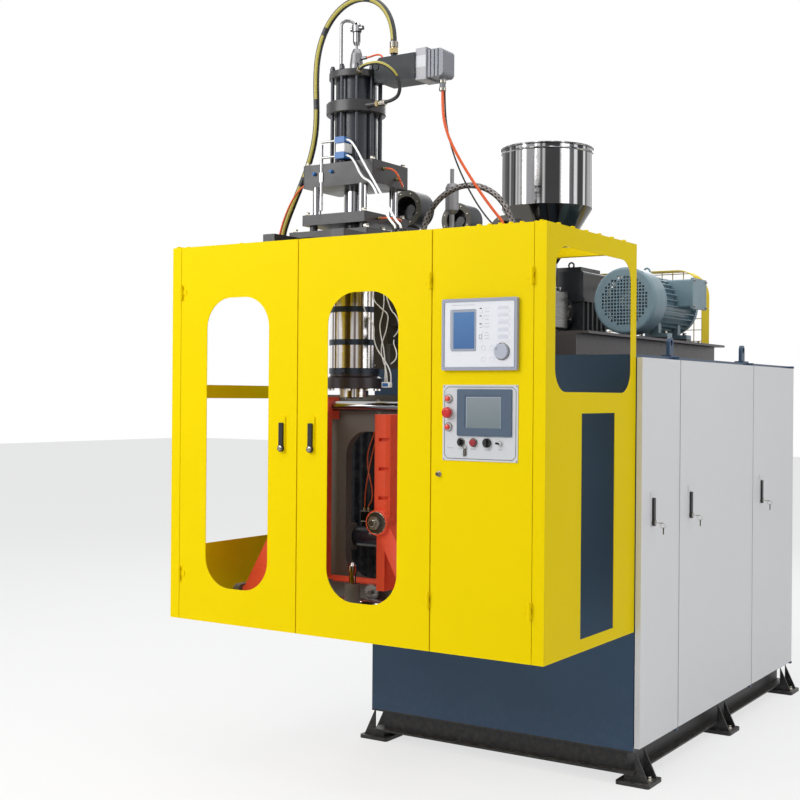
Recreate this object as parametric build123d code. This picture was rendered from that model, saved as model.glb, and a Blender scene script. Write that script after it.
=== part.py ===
from build123d import *
import os
from math import cos, sin, pi, tan, radians

os.makedirs("parts", exist_ok=True)

# Frame: +X to the right seen from the front, +Y to the back, +Z up, millimetres.
# Origin: on the floor, at the centre of the four corner anchor holes.

# Base and cabinet
base_width = 1300.0
base_length = 2180.0
foot_rise = 47.0
foot_plate = 16.0
foot_side = 150.0
foot_reach = 70.0
anchor_radius = 11.0
channel_height = 100.0
channel_width = 50.0
channel_web = 8.0
body_height = 1640.0
body_wall = 5.0
body_lip = 35.0
front_bay = 442.0
middle_bay = 1027.0
side_door_depth = 24.0
side_door_gap = 4.0
door_sheet = 3.0
leaf_gap = 5.0
pivot_radius = 4.0
pivot_inset = 10.0
pivot_lug = 12.0
running_gap = 0.05
seat_gap = 0.3

# Yellow guard
guard_width = 1800.0
guard_depth = 830.0
guard_height = 1600.0
guard_bottom = 640.0
guard_sheet = 3.0
guard_flange = 40.0
post_width = 48.0
door_width = 632.0
door_depth = 20.0
window_width = 336.0
window_top = 225.0
window_bottom = 150.0
window_corner = 130.0
side_corner = 90.0
knuckle_radius = 7.0
knuckle_length = 20.0
hinge_pin_radius = 3.0
hinge_inset = 165.0

# Lock handles
handle_length = 150.0
handle_width = 34.0
handle_plate = 6.0
lever_length = 104.0
lever_width = 20.0
lever_thick = 9.0
lock_radius = 12.0
spindle_radius = 5.0

# Parison head and cylinder stack
head_from_right = 1116.0
head_from_front = 400.0
head_radius = 104.0
head_bottom = 1690.0
die_bottom = 1600.0
rod_radius = 51.0
plate_side = 410.0
plate_thick = 25.0
plate_rise = 34.0
rail_width = 60.0
stack_lower_side = 330.0
stack_lower_thick = 44.0
pillar_radius = 19.0
pillar_height = 121.0
pillar_offset = 128.0
stack_upper_side = 366.0
stack_upper_depth = 270.0
stack_upper_thick = 97.0
lower_tube_radius = 92.0
lower_tube_height = 217.0
flange_radius = 129.0
middle_flange_height = 52.0
upper_tube_radius = 88.0
upper_tube_height = 100.0
top_flange_radius = 118.0
top_flange_height = 31.0
tie_radius = 8.0
tie_circle = 108.0
tie_count = 10

# Extruder
barrel_radius = 55.0
barrel_axis_z = 2070.0
barrel_bore = 30.2
band_radius = 78.0
band_length = 108.0
band_space = 12.0
jacket_half = 50.0
bed_height = 120.0
bed_right = 298.0
bed_left = -590.0
bed_front = -790.0
bed_back = 1045.0
hopper_y = 322.0
hopper_radius = 251.0
hopper_body_height = 331.0
hopper_cone_height = 300.0
hopper_wall = 3.0
hopper_neck_radius = 60.0
throat_height = 120.0
gearbox_front = 440.0
gearbox_back = 800.0
gearbox_half_width = 150.0
gearbox_top = 2350.0
input_axis_z = 2150.0
motor_x = 90.0
motor_front = 99.0
motor_radius = 150.0
cowl_radius = 172.0
cowl_length = 150.0
motor_axis_rise = 200.0
shaft_radius = 22.0
big_pulley = 140.0
small_pulley = 70.0
pulley_width = 70.0
belt_thick = 10.0
pulley_front = 850.0
guard_band_front = 835.0
guard_band_width = 115.0
guard_band_right = 240.0
guard_band_left = -650.0
guard_band_top = 2325.0

# Mould clamp
clamp_plate_thick = 45.0
clamp_plate_front = 590.0
clamp_plate_half = 520.0
clamp_plate_low = 610.0
clamp_plate_high = 1610.0
slot_left = 173.0
slot_right = 267.0
slot_low = 788.0
slot_high = 1447.0
slot_corner = 110.0
bar_radius = 22.0
upper_bar_z = 1560.0
lower_bar_z = 700.0
mould_half_gap = 210.0
mould_plate_thick = 40.0
clamp_stroke = 150.0
cheek_thick = 30.0
gear_module = 4.0
gear_teeth = 18
gear_width = 22.0

# Consoles
console_width = 318.0
console_height = 266.0
console_depth = 16.0
operator_height = 283.0
operator_thick = 3.0

# Derived places
body_bottom = foot_rise + channel_height
body_top = body_bottom + body_height
base_front = -base_length / 2
base_back = base_length / 2
base_left = -base_width / 2
base_right = base_width / 2
guard_front = base_front - guard_depth
guard_top = guard_bottom + guard_height
guard_right = base_right
guard_left = guard_right - guard_width
split_right = guard_right - post_width
split_left_post = guard_left + post_width
split_centre = split_left_post + door_width + leaf_gap / 2
split_control = split_centre + door_width + leaf_gap
head_x = guard_right - head_from_right
head_y = guard_front + head_from_front
bed_top = body_top + bed_height
motor_z = bed_top + motor_axis_rise
side_door_out = base_right + side_door_gap + side_door_depth
bay_splits = [base_front, base_front + front_bay, base_front + front_bay + middle_bay, base_back]


def block(x, y, z):
    """Box between two corners, given as (low, high) along each axis."""
    spans = (x, y, z)
    size = [high - low for low, high in spans]
    centre = [(high + low) / 2 for low, high in spans]
    return Pos(*centre) * Box(*size)


def drum(x, y, z, radius, length, way="z"):
    """Cylinder whose first end is centred on the point and which runs along +way."""
    turn = {"x": Rot(0, 90, 0), "y": Rot(-90, 0, 0), "z": Rot(0, 0, 0)}[way]
    flat = (Align.CENTER, Align.CENTER, Align.MIN)
    return Pos(x, y, z) * turn * Cylinder(radius, length, align=flat)


def pane_y(x, z, corner, y):
    """Rounded rectangle in X and Z, as thick as the span y."""
    centre = Pos((x[0] + x[1]) / 2, y[0], (z[0] + z[1]) / 2)
    face = RectangleRounded(x[1] - x[0], z[1] - z[0], corner)
    return centre * Rot(-90, 0, 0) * extrude(face, y[1] - y[0])


def pane_x(y, z, corner, x):
    """Rounded rectangle in Y and Z, as thick as the span x."""
    centre = Pos(x[0], (y[0] + y[1]) / 2, (z[0] + z[1]) / 2)
    face = RectangleRounded(z[1] - z[0], y[1] - y[0], corner)
    return centre * Rot(0, 90, 0) * extrude(face, x[1] - x[0])


def turned(profile, x, y):
    """Solid turned about the vertical line at x, y from (radius, z) points."""
    face = Plane.XZ * make_face(Polyline(*profile, close=True))
    return Pos(x, y, 0) * revolve(face, Axis.Z)


def ring_places(count, radius, start=0.0):
    """Evenly spaced (x, y) offsets round a circle."""
    angles = [radians(start + 360.0 * i / count) for i in range(count)]
    return [(radius * cos(a), radius * sin(a)) for a in angles]


def save(name, shape):
    """One STEP file per sub-part."""
    shape.label = name
    export_step(shape, f"parts/{name}.step")
    return shape


def group(solids):
    """Several separate like solids kept as one sub-part."""
    return Compound(children=[s for item in solids for s in item.solids()])


# Base frame: channel ring with its open side out, cross members and anchor feet
def make_base_frame():
    z = (foot_rise, body_bottom)
    ring = block((base_left, base_right), (base_front, base_back), z)
    inner_x = (base_left + channel_width, base_right - channel_width)
    inner_y = (base_front + channel_width, base_back - channel_width)
    ring -= block(inner_x, inner_y, z)
    groove = block((base_left, base_right), (base_front, base_back), (z[0] + channel_web, z[1] - channel_web))
    web = channel_width - channel_web
    groove -= block((base_left + web, base_right - web), (base_front + web, base_back - web), z)
    frame = ring - groove
    for y in bay_splits[1:3]:
        frame += block(inner_x, (y - channel_width / 2, y + channel_width / 2), z)
    for side in (-1, 1):
        for y in foot_rows():
            frame += make_foot(side, y)
    return frame


def foot_rows():
    """Middles of the feet along Y."""
    edge = base_length / 2 - foot_side / 2
    return [-edge, 0.0, edge]


def make_foot(side, y):
    """Floor plate with a post under the channel, two gussets and an anchor hole."""
    edge = side * base_width / 2
    x = sorted((edge - side * (foot_side - foot_reach), edge + side * foot_reach))
    y_span = (y - foot_side / 2, y + foot_side / 2)
    foot = pane_z(x, y_span, 12.0, (0.0, foot_plate))
    post = sorted((edge, edge - side * 2 * channel_width / 2))
    foot += block(post, (y - channel_width, y + channel_width), (foot_plate, foot_rise))
    for way in (-1, 1):
        at = y + way * (channel_width - 4.0)
        corners = [(edge - side, foot_plate), (edge + side * (foot_reach - 12.0), foot_plate)]
        corners.append((edge - side, body_bottom - channel_web))
        rib = Plane.XZ * make_face(Polyline(*corners, close=True))
        foot += Pos(0, at + 4.0, 0) * extrude(rib, 8.0)
    hole_x = edge + side * (foot_reach - anchor_inset())
    return foot - drum(hole_x, y, 0, anchor_radius, foot_plate)


def anchor_inset():
    """From the foot plate's outer edge to the anchor hole."""
    return 3 * anchor_radius


def pane_z(x, y, corner, z):
    """Rounded rectangle in X and Y, as thick as the span z."""
    centre = Pos((x[0] + x[1]) / 2, (y[0] + y[1]) / 2, z[0])
    return centre * extrude(RectangleRounded(x[1] - x[0], y[1] - y[0], corner), z[1] - z[0])


# Cabinet: three bays open to the right, lifting lugs on the deck
lug_thick = 16.0
lug_height = 90.0
lug_hole_radius = 14.0
lug_inset = 35.0


def make_body_shell():
    shell = block((base_left, base_right), (base_front, base_back), (body_bottom, body_top))
    for low, high in zip(bay_splits[:-1], bay_splits[1:]):
        wall = body_wall / 2
        start = low + (body_wall if low == base_front else wall)
        end = high - (body_wall if high == base_back else wall)
        z = (body_bottom + body_wall, body_top - body_wall)
        shell -= block((base_left + body_wall, base_right - body_wall), (start, end), z)
        lip_z = (z[0] + body_lip, z[1] - body_lip)
        opening_x = (base_right - body_wall, base_right)
        shell -= block(opening_x, (start + body_lip, end - body_lip), lip_z)
    for x in (base_left + lug_inset, base_right - lug_inset):
        for y in (base_front + 470.0, base_back - 715.0):
            shell += make_lug(x, y)
    for high in bay_splits[1:]:
        shell += make_pivot_lugs(high)
    return shell


def make_lug(x, y):
    """Lifting lug: a rounded upright plate with its hole, on a small pad."""
    pad = block((x - 22, x + 22), (y - 45, y + 45), (body_top, body_top + 10))
    plate = pane_x((y - 24, y + 24), (body_top - 30, body_top + lug_height), 23.0, lug_span(x))
    plate &= block(lug_span(x), (y - 24, y + 24), (body_top, body_top + lug_height))
    plate += pad
    return plate - drum(x - 30, y, body_top + lug_height - 26, lug_hole_radius, 60, "x")


def lug_span(x):
    return (x - lug_thick / 2, x + lug_thick / 2)


def door_levels():
    """Lower and upper edges of the white doors, between their pivot lugs."""
    return (body_bottom + pivot_lug + 1.0, body_top - pivot_lug - 1.0)


def pivot_place(high):
    """Pivot axis of the door whose rear edge is at this split."""
    return (side_door_out - pivot_inset, high - leaf_gap / 2 - pivot_inset)


def make_pivot_lugs(high):
    """Ears above and below a white door's rear corner, with their pivot pins."""
    x, y = pivot_place(high)
    low_edge, high_edge = door_levels()
    span_y = (y - pivot_inset, y + pivot_inset)
    span_x = (base_right, x + pivot_inset)
    ears = block(span_x, span_y, (body_bottom, body_bottom + pivot_lug))
    ears += block(span_x, span_y, (body_top - pivot_lug, body_top))
    ears += drum(x, y, body_bottom + pivot_lug, pivot_radius, pivot_lug)
    ears += drum(x, y, body_top - 2 * pivot_lug, pivot_radius, pivot_lug)
    return ears


# White cabinet doors: folded trays that pivot at their rear edge
def side_door_span(index):
    return (bay_splits[index] + leaf_gap / 2, bay_splits[index + 1] - leaf_gap / 2)


def make_side_door(index):
    y = side_door_span(index)
    z = door_levels()
    x = (base_right + side_door_gap, side_door_out)
    leaf = block(x, y, z)
    rear = [e for e in leaf.edges().filter_by(Axis.Z) if e.center().Y > y[1] - 1 and e.center().X > x[1] - 1]
    leaf = fillet(rear, pivot_inset - 0.5)
    inner_y = (y[0] + door_sheet, y[1] - 2 * pivot_inset - door_sheet)
    leaf -= block((x[0], x[1] - door_sheet), inner_y, (z[0] + door_sheet, z[1] - door_sheet))
    pivot_x, pivot_y = pivot_place(bay_splits[index + 1])
    for low in (z[0], z[1] - pivot_lug):
        leaf -= drum(pivot_x, pivot_y, low, pivot_radius + running_gap, pivot_lug)
    lock_y, lock_z = side_lock_place(index)
    leaf += make_lock_plate_x(lock_y, lock_z)
    return leaf - drum(x[1] - door_sheet, lock_y, lock_z, spindle_radius + running_gap, 20, "x")


side_lock_inset = 110.0
side_lock_z = 1085.0


def side_lock_place(index):
    return (side_door_span(index)[0] + side_lock_inset, side_lock_z)


def make_lock_plate_x(y, z):
    """Lock plate standing on a white door, with the seat that its lever turns on."""
    top = z + handle_length - handle_width / 2
    low = z - handle_width / 2
    span = (y - handle_width / 2, y + handle_width / 2)
    plate = pane_x(span, (low, top), 8.0, (side_door_out - 1, side_door_out + handle_plate))
    return plate


def make_lever_x(y, z):
    """Lever on a white door: a hub with a lock face, and a grip that points up."""
    x = (side_door_out + handle_plate + seat_gap, side_door_out + handle_plate + seat_gap + lever_thick)
    grip = pane_x((y - lever_width / 2, y + lever_width / 2), (z - 2, z + lever_length), 4.0, x)
    hub = drum(x[0], y, z, lock_radius + 2, lever_thick + 2, "x")
    slot = block((x[1], x[1] + 3), (y - 1.2, y + 1.2), (z - 6, z + 6))
    spindle = drum(side_door_out - 3, y, z, spindle_radius, x[0] - side_door_out + 4, "x")
    return grip + hub - slot + spindle


# Yellow guard
def make_guard_frame():
    x = (guard_left, guard_right)
    y = (guard_front, base_front)
    z = (guard_bottom, guard_top)
    inner_x = (x[0] + guard_sheet, x[1] - guard_sheet)
    inner_y = (y[0] + guard_sheet, y[1])
    frame = block(x, y, z) - block(inner_x, inner_y, z)
    opening = (split_left_post, split_right)
    frame -= block(opening, (y[0], y[0] + guard_sheet), z)
    frame += make_guard_rails()
    frame -= make_left_side_openings()
    frame -= make_right_side_openings()
    for hinge_x, way in door_hinges():
        for hinge_z in hinge_levels():
            frame += make_fixed_knuckles(hinge_x, hinge_z, way)
    return frame


# Sockets of the hoses on the guard's cross rails, from the head's axis
main_socket = (-382.0, -20.0)
braid_socket = (672.0, 170.0)
air_socket = (672.0, 110.0)
socket_height = 14.0
braid_start = (238.0, 170.0)


def make_guard_rails():
    """Rails behind the doors along the top and bottom, and the mullion between doors."""
    back = guard_front + door_depth + 2.0
    deep = back + guard_flange
    x = (guard_left + guard_sheet, guard_right - guard_sheet)
    rails = block(x, (back, deep), (guard_top - guard_flange, guard_top))
    rails += block(x, (back, deep), (guard_bottom, guard_bottom + guard_flange))
    for post_x in (split_left_post, split_right, split_control):
        span = (post_x - guard_flange / 2, post_x + guard_flange / 2)
        rails += block(span, (back, deep), (guard_bottom, guard_top))
    rear = (base_front - guard_flange, base_front)
    rails += block(x, rear, (guard_top - guard_flange, guard_top))
    rails += block((guard_left + guard_sheet, base_left), rear, (guard_bottom, guard_bottom + guard_flange))
    low = (guard_left + guard_sheet, guard_left + guard_flange)
    rails += block(low, rear, (guard_bottom, guard_top))
    for x_at in (main_socket[0], air_socket[0]):
        cross = (head_x + x_at - guard_flange / 2, head_x + x_at + guard_flange / 2)
        rails += block(cross, (deep, rear[0]), (guard_top - guard_flange, guard_top))
    for x_at, y_at in (main_socket, braid_socket, air_socket):
        rails += drum(head_x + x_at, head_y + y_at, guard_top, 17.0, socket_height)
    return rails


left_window_low = 300.0
left_bar_height = 60.0
left_bar_z = 1620.0


def make_left_side_openings():
    """Two openings in the left side, above and below a cross bar."""
    x = (guard_left - 1, guard_left + guard_sheet + 1)
    y = (guard_front + 95.0, base_front - 60.0)
    cuts = pane_x(y, (guard_bottom + left_window_low, left_bar_z - left_bar_height / 2), 20.0, x)
    cuts += pane_x(y, (left_bar_z + left_bar_height / 2, guard_top - 80.0), side_corner, x)
    return cuts


side_window = {"front": 75.0, "back": 54.0, "top": 76.0, "height": 538.0}
side_slot = {"front": 308.0, "width": 312.0, "top": 694.0, "bottom": 48.0}


def make_right_side_openings():
    """Rounded window over the extruder and the tall slot below it, in the right side."""
    x = (guard_right - guard_sheet - 1, guard_right + 1)
    window_y = (guard_front + side_window["front"], base_front - side_window["back"])
    window_z = (guard_top - side_window["top"] - side_window["height"], guard_top - side_window["top"])
    cuts = pane_x(window_y, window_z, side_corner, x)
    slot_y = guard_front + side_slot["front"]
    slot_z = (guard_bottom + side_slot["bottom"], guard_top - side_slot["top"])
    return cuts + block(x, (slot_y, slot_y + side_slot["width"]), slot_z)


def door_hinges():
    """Hinge line of each yellow door, and the way its leaf runs from there."""
    return [(split_left_post, 1), (split_control, -1), (split_right, -1)]


def hinge_levels():
    return [guard_bottom + hinge_inset, guard_top - hinge_inset - 3 * knuckle_length]


def hinge_axis(hinge_x, way):
    """Pin centre: over the leaf's edge and just in front of it."""
    return (hinge_x + way * (leaf_gap / 2 + 3.5), guard_front - knuckle_radius - 0.5)


def make_fixed_knuckles(hinge_x, z, way):
    """Two knuckles with their pin, on a strap that passes back through the gap."""
    x, y = hinge_axis(hinge_x, way)
    middle = (z + knuckle_length - seat_gap, z + 2 * knuckle_length + seat_gap)
    knuckles = drum(x, y, z, knuckle_radius, 3 * knuckle_length)
    strap_x = sorted((hinge_x + way * leaf_gap / 2 - way * 1.0, hinge_x - way * 1.2))
    back = guard_front + door_depth + 2.0
    knuckles += block(strap_x, (y - 2, back), (z, z + 3 * knuckle_length))
    cut = block((x - 12, x + 12), (y - 12, guard_front + door_depth + 1.0), middle)
    knuckles -= cut
    return knuckles + drum(x, y, z + 1, hinge_pin_radius, 3 * knuckle_length - 2)


def make_leaf_knuckle(hinge_x, z, way):
    """Middle knuckle and its strap on the leaf."""
    x, y = hinge_axis(hinge_x, way)
    low = z + knuckle_length
    length = knuckle_length
    knuckle = drum(x, y, low, knuckle_radius, length)
    strap_x = sorted((x, x + way * 26))
    knuckle += block(strap_x, (guard_front - 3, guard_front + 1), (low, low + length))
    knuckle += block(sorted((x, x + way * 6)), (y, guard_front), (low, low + length))
    return knuckle - drum(x, y, low, hinge_pin_radius + running_gap, length)


def make_guard_door(x, hinge_x, way, window):
    """Folded leaf with its own window, hinge knuckles on one edge."""
    y = (guard_front, guard_front + door_depth)
    z = (guard_bottom, guard_top)
    leaf = block(x, y, z)
    leaf -= block((x[0] + door_sheet, x[1] - door_sheet), (y[0] + door_sheet, y[1]),
                  (z[0] + door_sheet, z[1] - door_sheet))
    if window:
        middle = (x[0] + x[1]) / 2
        span = (middle - window_width / 2, middle + window_width / 2)
        high = (z[0] + window_bottom, z[1] - window_top)
        leaf -= pane_y(span, high, window_corner, (y[0] - 1, y[0] + door_sheet + 1))
    for level in hinge_levels():
        leaf += make_leaf_knuckle(hinge_x, level, way)
        x_pin, y_pin = hinge_axis(hinge_x, way)
        leaf -= drum(x_pin, y_pin, level, hinge_pin_radius + running_gap, 3 * knuckle_length)
    return leaf


handle_inset = 74.0
handle_z = 1390.0


def make_lock_plate_y(x, z):
    low = z - handle_width / 2
    top = z + handle_length - handle_width / 2
    span = (x - handle_width / 2, x + handle_width / 2)
    return pane_y(span, (low, top), 8.0, (guard_front - handle_plate, guard_front + 1))


def make_spindle_hole(x, z):
    """Hole for a lever's spindle through a yellow door and its lock plate."""
    return drum(x, guard_front - 20, z, spindle_radius + running_gap, 20 + door_sheet, "y")


def make_lever_y(x, z):
    """Lever on a yellow door: a hub with a lock face, and a grip that points up."""
    face = guard_front - handle_plate - seat_gap
    y = (face - lever_thick, face)
    grip = pane_y((x - lever_width / 2, x + lever_width / 2), (z - 2, z + lever_length), 4.0, y)
    hub = drum(x, y[0] - 2, z, lock_radius + 2, lever_thick + 2, "y")
    slot = block((x - 1.2, x + 1.2), (y[0] - 2, y[0] - 0.5), (z - 6, z + 6))
    spindle = drum(x, face - 1, z, spindle_radius, guard_front - face + 4, "y")
    return grip + hub - slot + spindle


# Control door furniture
console_right = 109.0
console_top = 270.0
operator_top = 590.0


def console_span():
    right = guard_right - console_right
    return (right - console_width, right)


def make_upper_console():
    """Bezel box of the parison programmer, with its screen recess, keys and knob seat."""
    x = console_span()
    top = guard_top - console_top
    z = (top - console_height, top)
    box = pane_y(x, z, 6.0, (guard_front - console_depth, guard_front))
    box -= pane_y((x[0] + 10, x[1] - 10), (z[0] + 10, z[1] - 10), 3.0,
                  (guard_front - console_depth - 1, guard_front - console_depth + 2))
    screen = ((x[0] + 36, x[0] + 142), (z[0] + 76, top - 40))
    box -= block(screen[0], (guard_front - console_depth, guard_front - console_depth + 4), screen[1])
    for row in range(5):
        for column in range(2):
            key_x = x[0] + 160 + column * 84
            key_z = top - 44 - row * 27
            face = guard_front - console_depth + 2
            box += block((key_x, key_x + (14 if column == 0 else 44)), (face - 1.2, face), (key_z - 10, key_z))
    knob_x, knob_z = knob_place()
    return box - drum(knob_x, guard_front - console_depth, knob_z, 4 + running_gap, 10, "y")


def knob_place():
    x = console_span()
    return (x[1] - 62, guard_top - console_top - console_height + 68)


def make_knob():
    """Jog knob on its spindle."""
    x, z = knob_place()
    face = guard_front - console_depth + 2 - seat_gap
    knob = drum(x, face - 12, z, 28, 12, "y")
    knob = chamfer(knob.edges().filter_by(GeomType.CIRCLE).sort_by(Axis.Y)[0], 2.0)
    knob -= drum(x - 14, face - 13, z + 10, 6, 3, "y")
    return knob + drum(x, face - 1, z, 4, 9, "y")


def operator_levels():
    top = guard_top - operator_top
    return (top - operator_height, top)


controls = {"stop": (26.0, 104.0), "start": (134.0, 214.0), "selector_left": (80.0, 214.0),
            "selector_right": (192.0, 214.0)}


def control_place(name):
    """Middle of a control, from the plate's upper left corner."""
    right, down = controls[name]
    return (console_span()[0] + right, operator_levels()[1] - down)


def make_operator_panel():
    """Plate with the indicator lamps, the stub switch and the openings for the controls."""
    x = console_span()
    z = operator_levels()
    face = guard_front - operator_thick
    plate = pane_y(x, z, 4.0, (face, guard_front))
    screen = screen_span()
    plate -= block(screen[0], (face, guard_front), screen[1])
    for right, down, radius in ((26.0, 52.0, 11.0), (26.0, 158.0, 11.0), (246.0, 216.0, 8.0)):
        lamp = drum(x[0] + right, face - 9, z[1] - down, radius, 10, "y")
        plate += fillet(lamp.edges().filter_by(GeomType.CIRCLE).sort_by(Axis.Y)[0], 4.0)
        plate += drum(x[0] + right, face - 3, z[1] - down, radius + 3, 3, "y")
    for name in controls:
        at_x, at_z = control_place(name)
        plate -= drum(at_x, face, at_z, stem_radius + running_gap, operator_thick, "y")
    return plate


stem_radius = 10.0


def screen_span():
    x = console_span()
    top = operator_levels()[1]
    return ((x[0] + 68, x[0] + 290), (top - 186, top - 20))


def make_touch_screen():
    """Display unit: a framed glass that stands a little proud of the plate."""
    x, z = screen_span()
    outer = pane_y((x[0] - 4, x[1] + 4), (z[0] - 4, z[1] + 4), 5.0,
                   (guard_front - operator_thick - 5, guard_front - operator_thick))
    outer += block((x[0] + 0.2, x[1] - 0.2), (guard_front - operator_thick, guard_front), (z[0] + 0.2, z[1] - 0.2))
    glass = block((x[0] + 30, x[1] - 30), (guard_front - operator_thick - 5, guard_front - operator_thick - 3.5),
                  (z[0] + 26, z[1] - 18))
    return outer - glass


def make_stop_button():
    """Mushroom head on its stem."""
    x, z = control_place("stop")
    face = guard_front - operator_thick
    stem = drum(x, face - 14, z, stem_radius, 14 + operator_thick, "y")
    head = drum(x, face - 26, z, 20, 14, "y")
    head = fillet(head.edges().filter_by(GeomType.CIRCLE).sort_by(Axis.Y)[0], 9.0)
    return stem + head


def make_push_button():
    x, z = control_place("start")
    face = guard_front - operator_thick
    stem = drum(x, face - 6, z, stem_radius, 6 + operator_thick, "y")
    cap = drum(x, face - 13, z, 13, 8, "y")
    return stem + fillet(cap.edges().filter_by(GeomType.CIRCLE).sort_by(Axis.Y)[0], 2.0)


def make_selector(name, radius):
    """Round knob with a raised grip bar across it."""
    x, z = control_place(name)
    face = guard_front - operator_thick - seat_gap
    stem = drum(x, face - 2, z, stem_radius, 2 + seat_gap + operator_thick, "y")
    disc = drum(x, face - 8, z, radius, 8, "y")
    grip = block((x - 4, x + 4), (face - 18, face - 7), (z - radius + 1, z + radius - 1))
    return stem + disc + grip


# Cylinder stack over the parison head, from the guard's top upwards
levels = {}
levels["plate"] = guard_top + plate_rise
levels["lower"] = levels["plate"] + plate_thick + 31.0
levels["pillar"] = levels["lower"] + stack_lower_thick
levels["upper"] = levels["pillar"] + pillar_height
levels["tube"] = levels["upper"] + stack_upper_thick
levels["middle"] = levels["tube"] + lower_tube_height
levels["top_tube"] = levels["middle"] + middle_flange_height
levels["cap"] = levels["top_tube"] + upper_tube_height
levels["boss"] = levels["cap"] + top_flange_height


def square_places(offset):
    return [(sx * offset, sy * offset) for sx in (-1, 1) for sy in (-1, 1)]


def make_head_plate():
    """Square plate on two rails that lie on the guard's front and rear rails."""
    z = (levels["plate"], levels["plate"] + plate_thick)
    half = plate_side / 2
    plate = pane_z((head_x - half, head_x + half), (head_y - half, head_y + half), 10.0, z)
    for side in (-1, 1):
        x = head_x + side * (half - rail_width / 2)
        span = (x - rail_width / 2, x + rail_width / 2)
        plate += block(span, (guard_front + door_depth + 4.0, base_front), (guard_top, levels["plate"]))
    for dx, dy in square_places(pillar_offset):
        plate += drum(head_x + dx, head_y + dy, z[1], 17.0, levels["lower"] - z[1])
    port_x, port_y = head_x + braid_start[0], head_y + braid_start[1]
    plate += block((head_x + half - 5, port_x + 22), (port_y - 20, port_y + 20), (guard_top + 6, guard_top + 20))
    plate += drum(port_x, port_y, guard_top + 20, 17.0, socket_height)
    return plate - drum(head_x, head_y, levels["plate"], rod_radius + 2, plate_thick)


# Ports of the servo loop hose: on the cap at an angle, and on the middle flange
loop_angle = -50.0
loop_start = 128.0
loop_end_x = 149.0
loop_end_y = -68.0


def make_stack_flanges():
    """The two square plates and the two round flanges of the stack, as separate solids."""
    lower = make_square_flange("lower", stack_lower_side, stack_lower_side, stack_lower_thick)
    upper = make_square_flange("upper", stack_upper_side, stack_upper_depth, stack_upper_thick)
    middle = drum(head_x, head_y, levels["middle"], flange_radius, middle_flange_height)
    middle = chamfer(middle.edges().filter_by(GeomType.CIRCLE), 4.0)
    port = levels["middle"] + middle_flange_height / 2
    middle += drum(head_x + 95, head_y + loop_end_y, port, 12.0, loop_end_x - 95, "x")
    middle += drum(head_x - flange_radius - 20, head_y, port, 14.0, 24.0, "x")
    cap = drum(head_x, head_y, levels["cap"], top_flange_radius, top_flange_height)
    cap = chamfer(cap.edges().filter_by(GeomType.CIRCLE), 3.0)
    stub = Rot(0, 0, loop_angle) * drum(100, 0, levels["cap"] + top_flange_height / 2, 11.0, loop_start - 100, "x")
    cap += Pos(head_x, head_y, 0) * stub
    for piece in (middle, cap):
        piece -= drum(head_x, head_y, levels["tube"], rod_bore(), levels["boss"] - levels["tube"])
    middle -= drum(head_x, head_y, levels["tube"], rod_bore(), levels["boss"] - levels["tube"])
    cap -= drum(head_x, head_y, levels["tube"], rod_bore(), levels["boss"] - levels["tube"])
    rods = tie_rod_shape(tie_radius)
    return group([lower, upper, middle - rods, cap - rods])


def rod_bore():
    """Bore that the piston rod runs in."""
    return rod_radius + running_gap


def make_square_flange(level, width, depth, thick):
    z = levels[level]
    plate = pane_z((head_x - width / 2, head_x + width / 2), (head_y - depth / 2, head_y + depth / 2),
                   8.0, (z, z + thick))
    return plate - drum(head_x, head_y, z, rod_bore(), thick)


def tie_rod_shape(radius):
    """All tie rods as one shape, from the stack's upper plate to above the cap."""
    rods = None
    for dx, dy in ring_places(tie_count, tie_circle, 18.0):
        rod = drum(head_x + dx, head_y + dy, levels["tube"], radius, levels["boss"] + 22.0 - levels["tube"])
        rods = rod if rods is None else rods + rod
    return rods


def make_tie_rods():
    """Tie rods with a nut on the cap at the end of each."""
    solids = []
    for dx, dy in ring_places(tie_count, tie_circle, 18.0):
        rod = drum(head_x + dx, head_y + dy, levels["tube"], tie_radius, levels["boss"] + 22.0 - levels["tube"])
        nut = extrude(RegularPolygon(13.0, 6), 14.0)
        rod += Pos(head_x + dx, head_y + dy, levels["boss"]) * nut
        solids.append(rod)
    return group(solids)


def make_cylinder_tubes():
    """Lower and upper cylinder barrels."""
    lower = drum(head_x, head_y, levels["tube"], lower_tube_radius, lower_tube_height)
    lower -= drum(head_x, head_y, levels["tube"], rod_bore(), lower_tube_height)
    upper = drum(head_x, head_y, levels["top_tube"], upper_tube_radius, upper_tube_height)
    upper -= drum(head_x, head_y, levels["top_tube"], rod_bore(), upper_tube_height)
    return group([lower, upper])


def make_pillars():
    """Four polished pillars between the two square plates."""
    places = square_places(pillar_offset - 10.0)
    return group([drum(head_x + dx, head_y + dy, levels["pillar"], pillar_radius, pillar_height)
                  for dx, dy in places])


head_top = 2274.0
head_bore = 46.0
die_radius = 62.0


def make_die_head():
    """Head body: upper shroud, bottom flange and die bush, bored for the mandrel."""
    profile = [(head_bore, die_bottom + 18), (die_radius, die_bottom), (die_radius, head_bottom - 52),
               (head_radius + 16, head_bottom - 52), (head_radius + 16, head_bottom - 8),
               (head_radius, head_bottom), (head_radius, levels["plate"]), (head_bore, levels["plate"])]
    head = turned(profile, head_x, head_y)
    for dx, dy in ring_places(8, head_radius + 4, 22.5):
        bolt = extrude(RegularPolygon(8.0, 6), 10.0)
        head += Pos(head_x + dx, head_y + dy, head_bottom - 62.0) * bolt
    return head


mandrel_drop = 20.0


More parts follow.
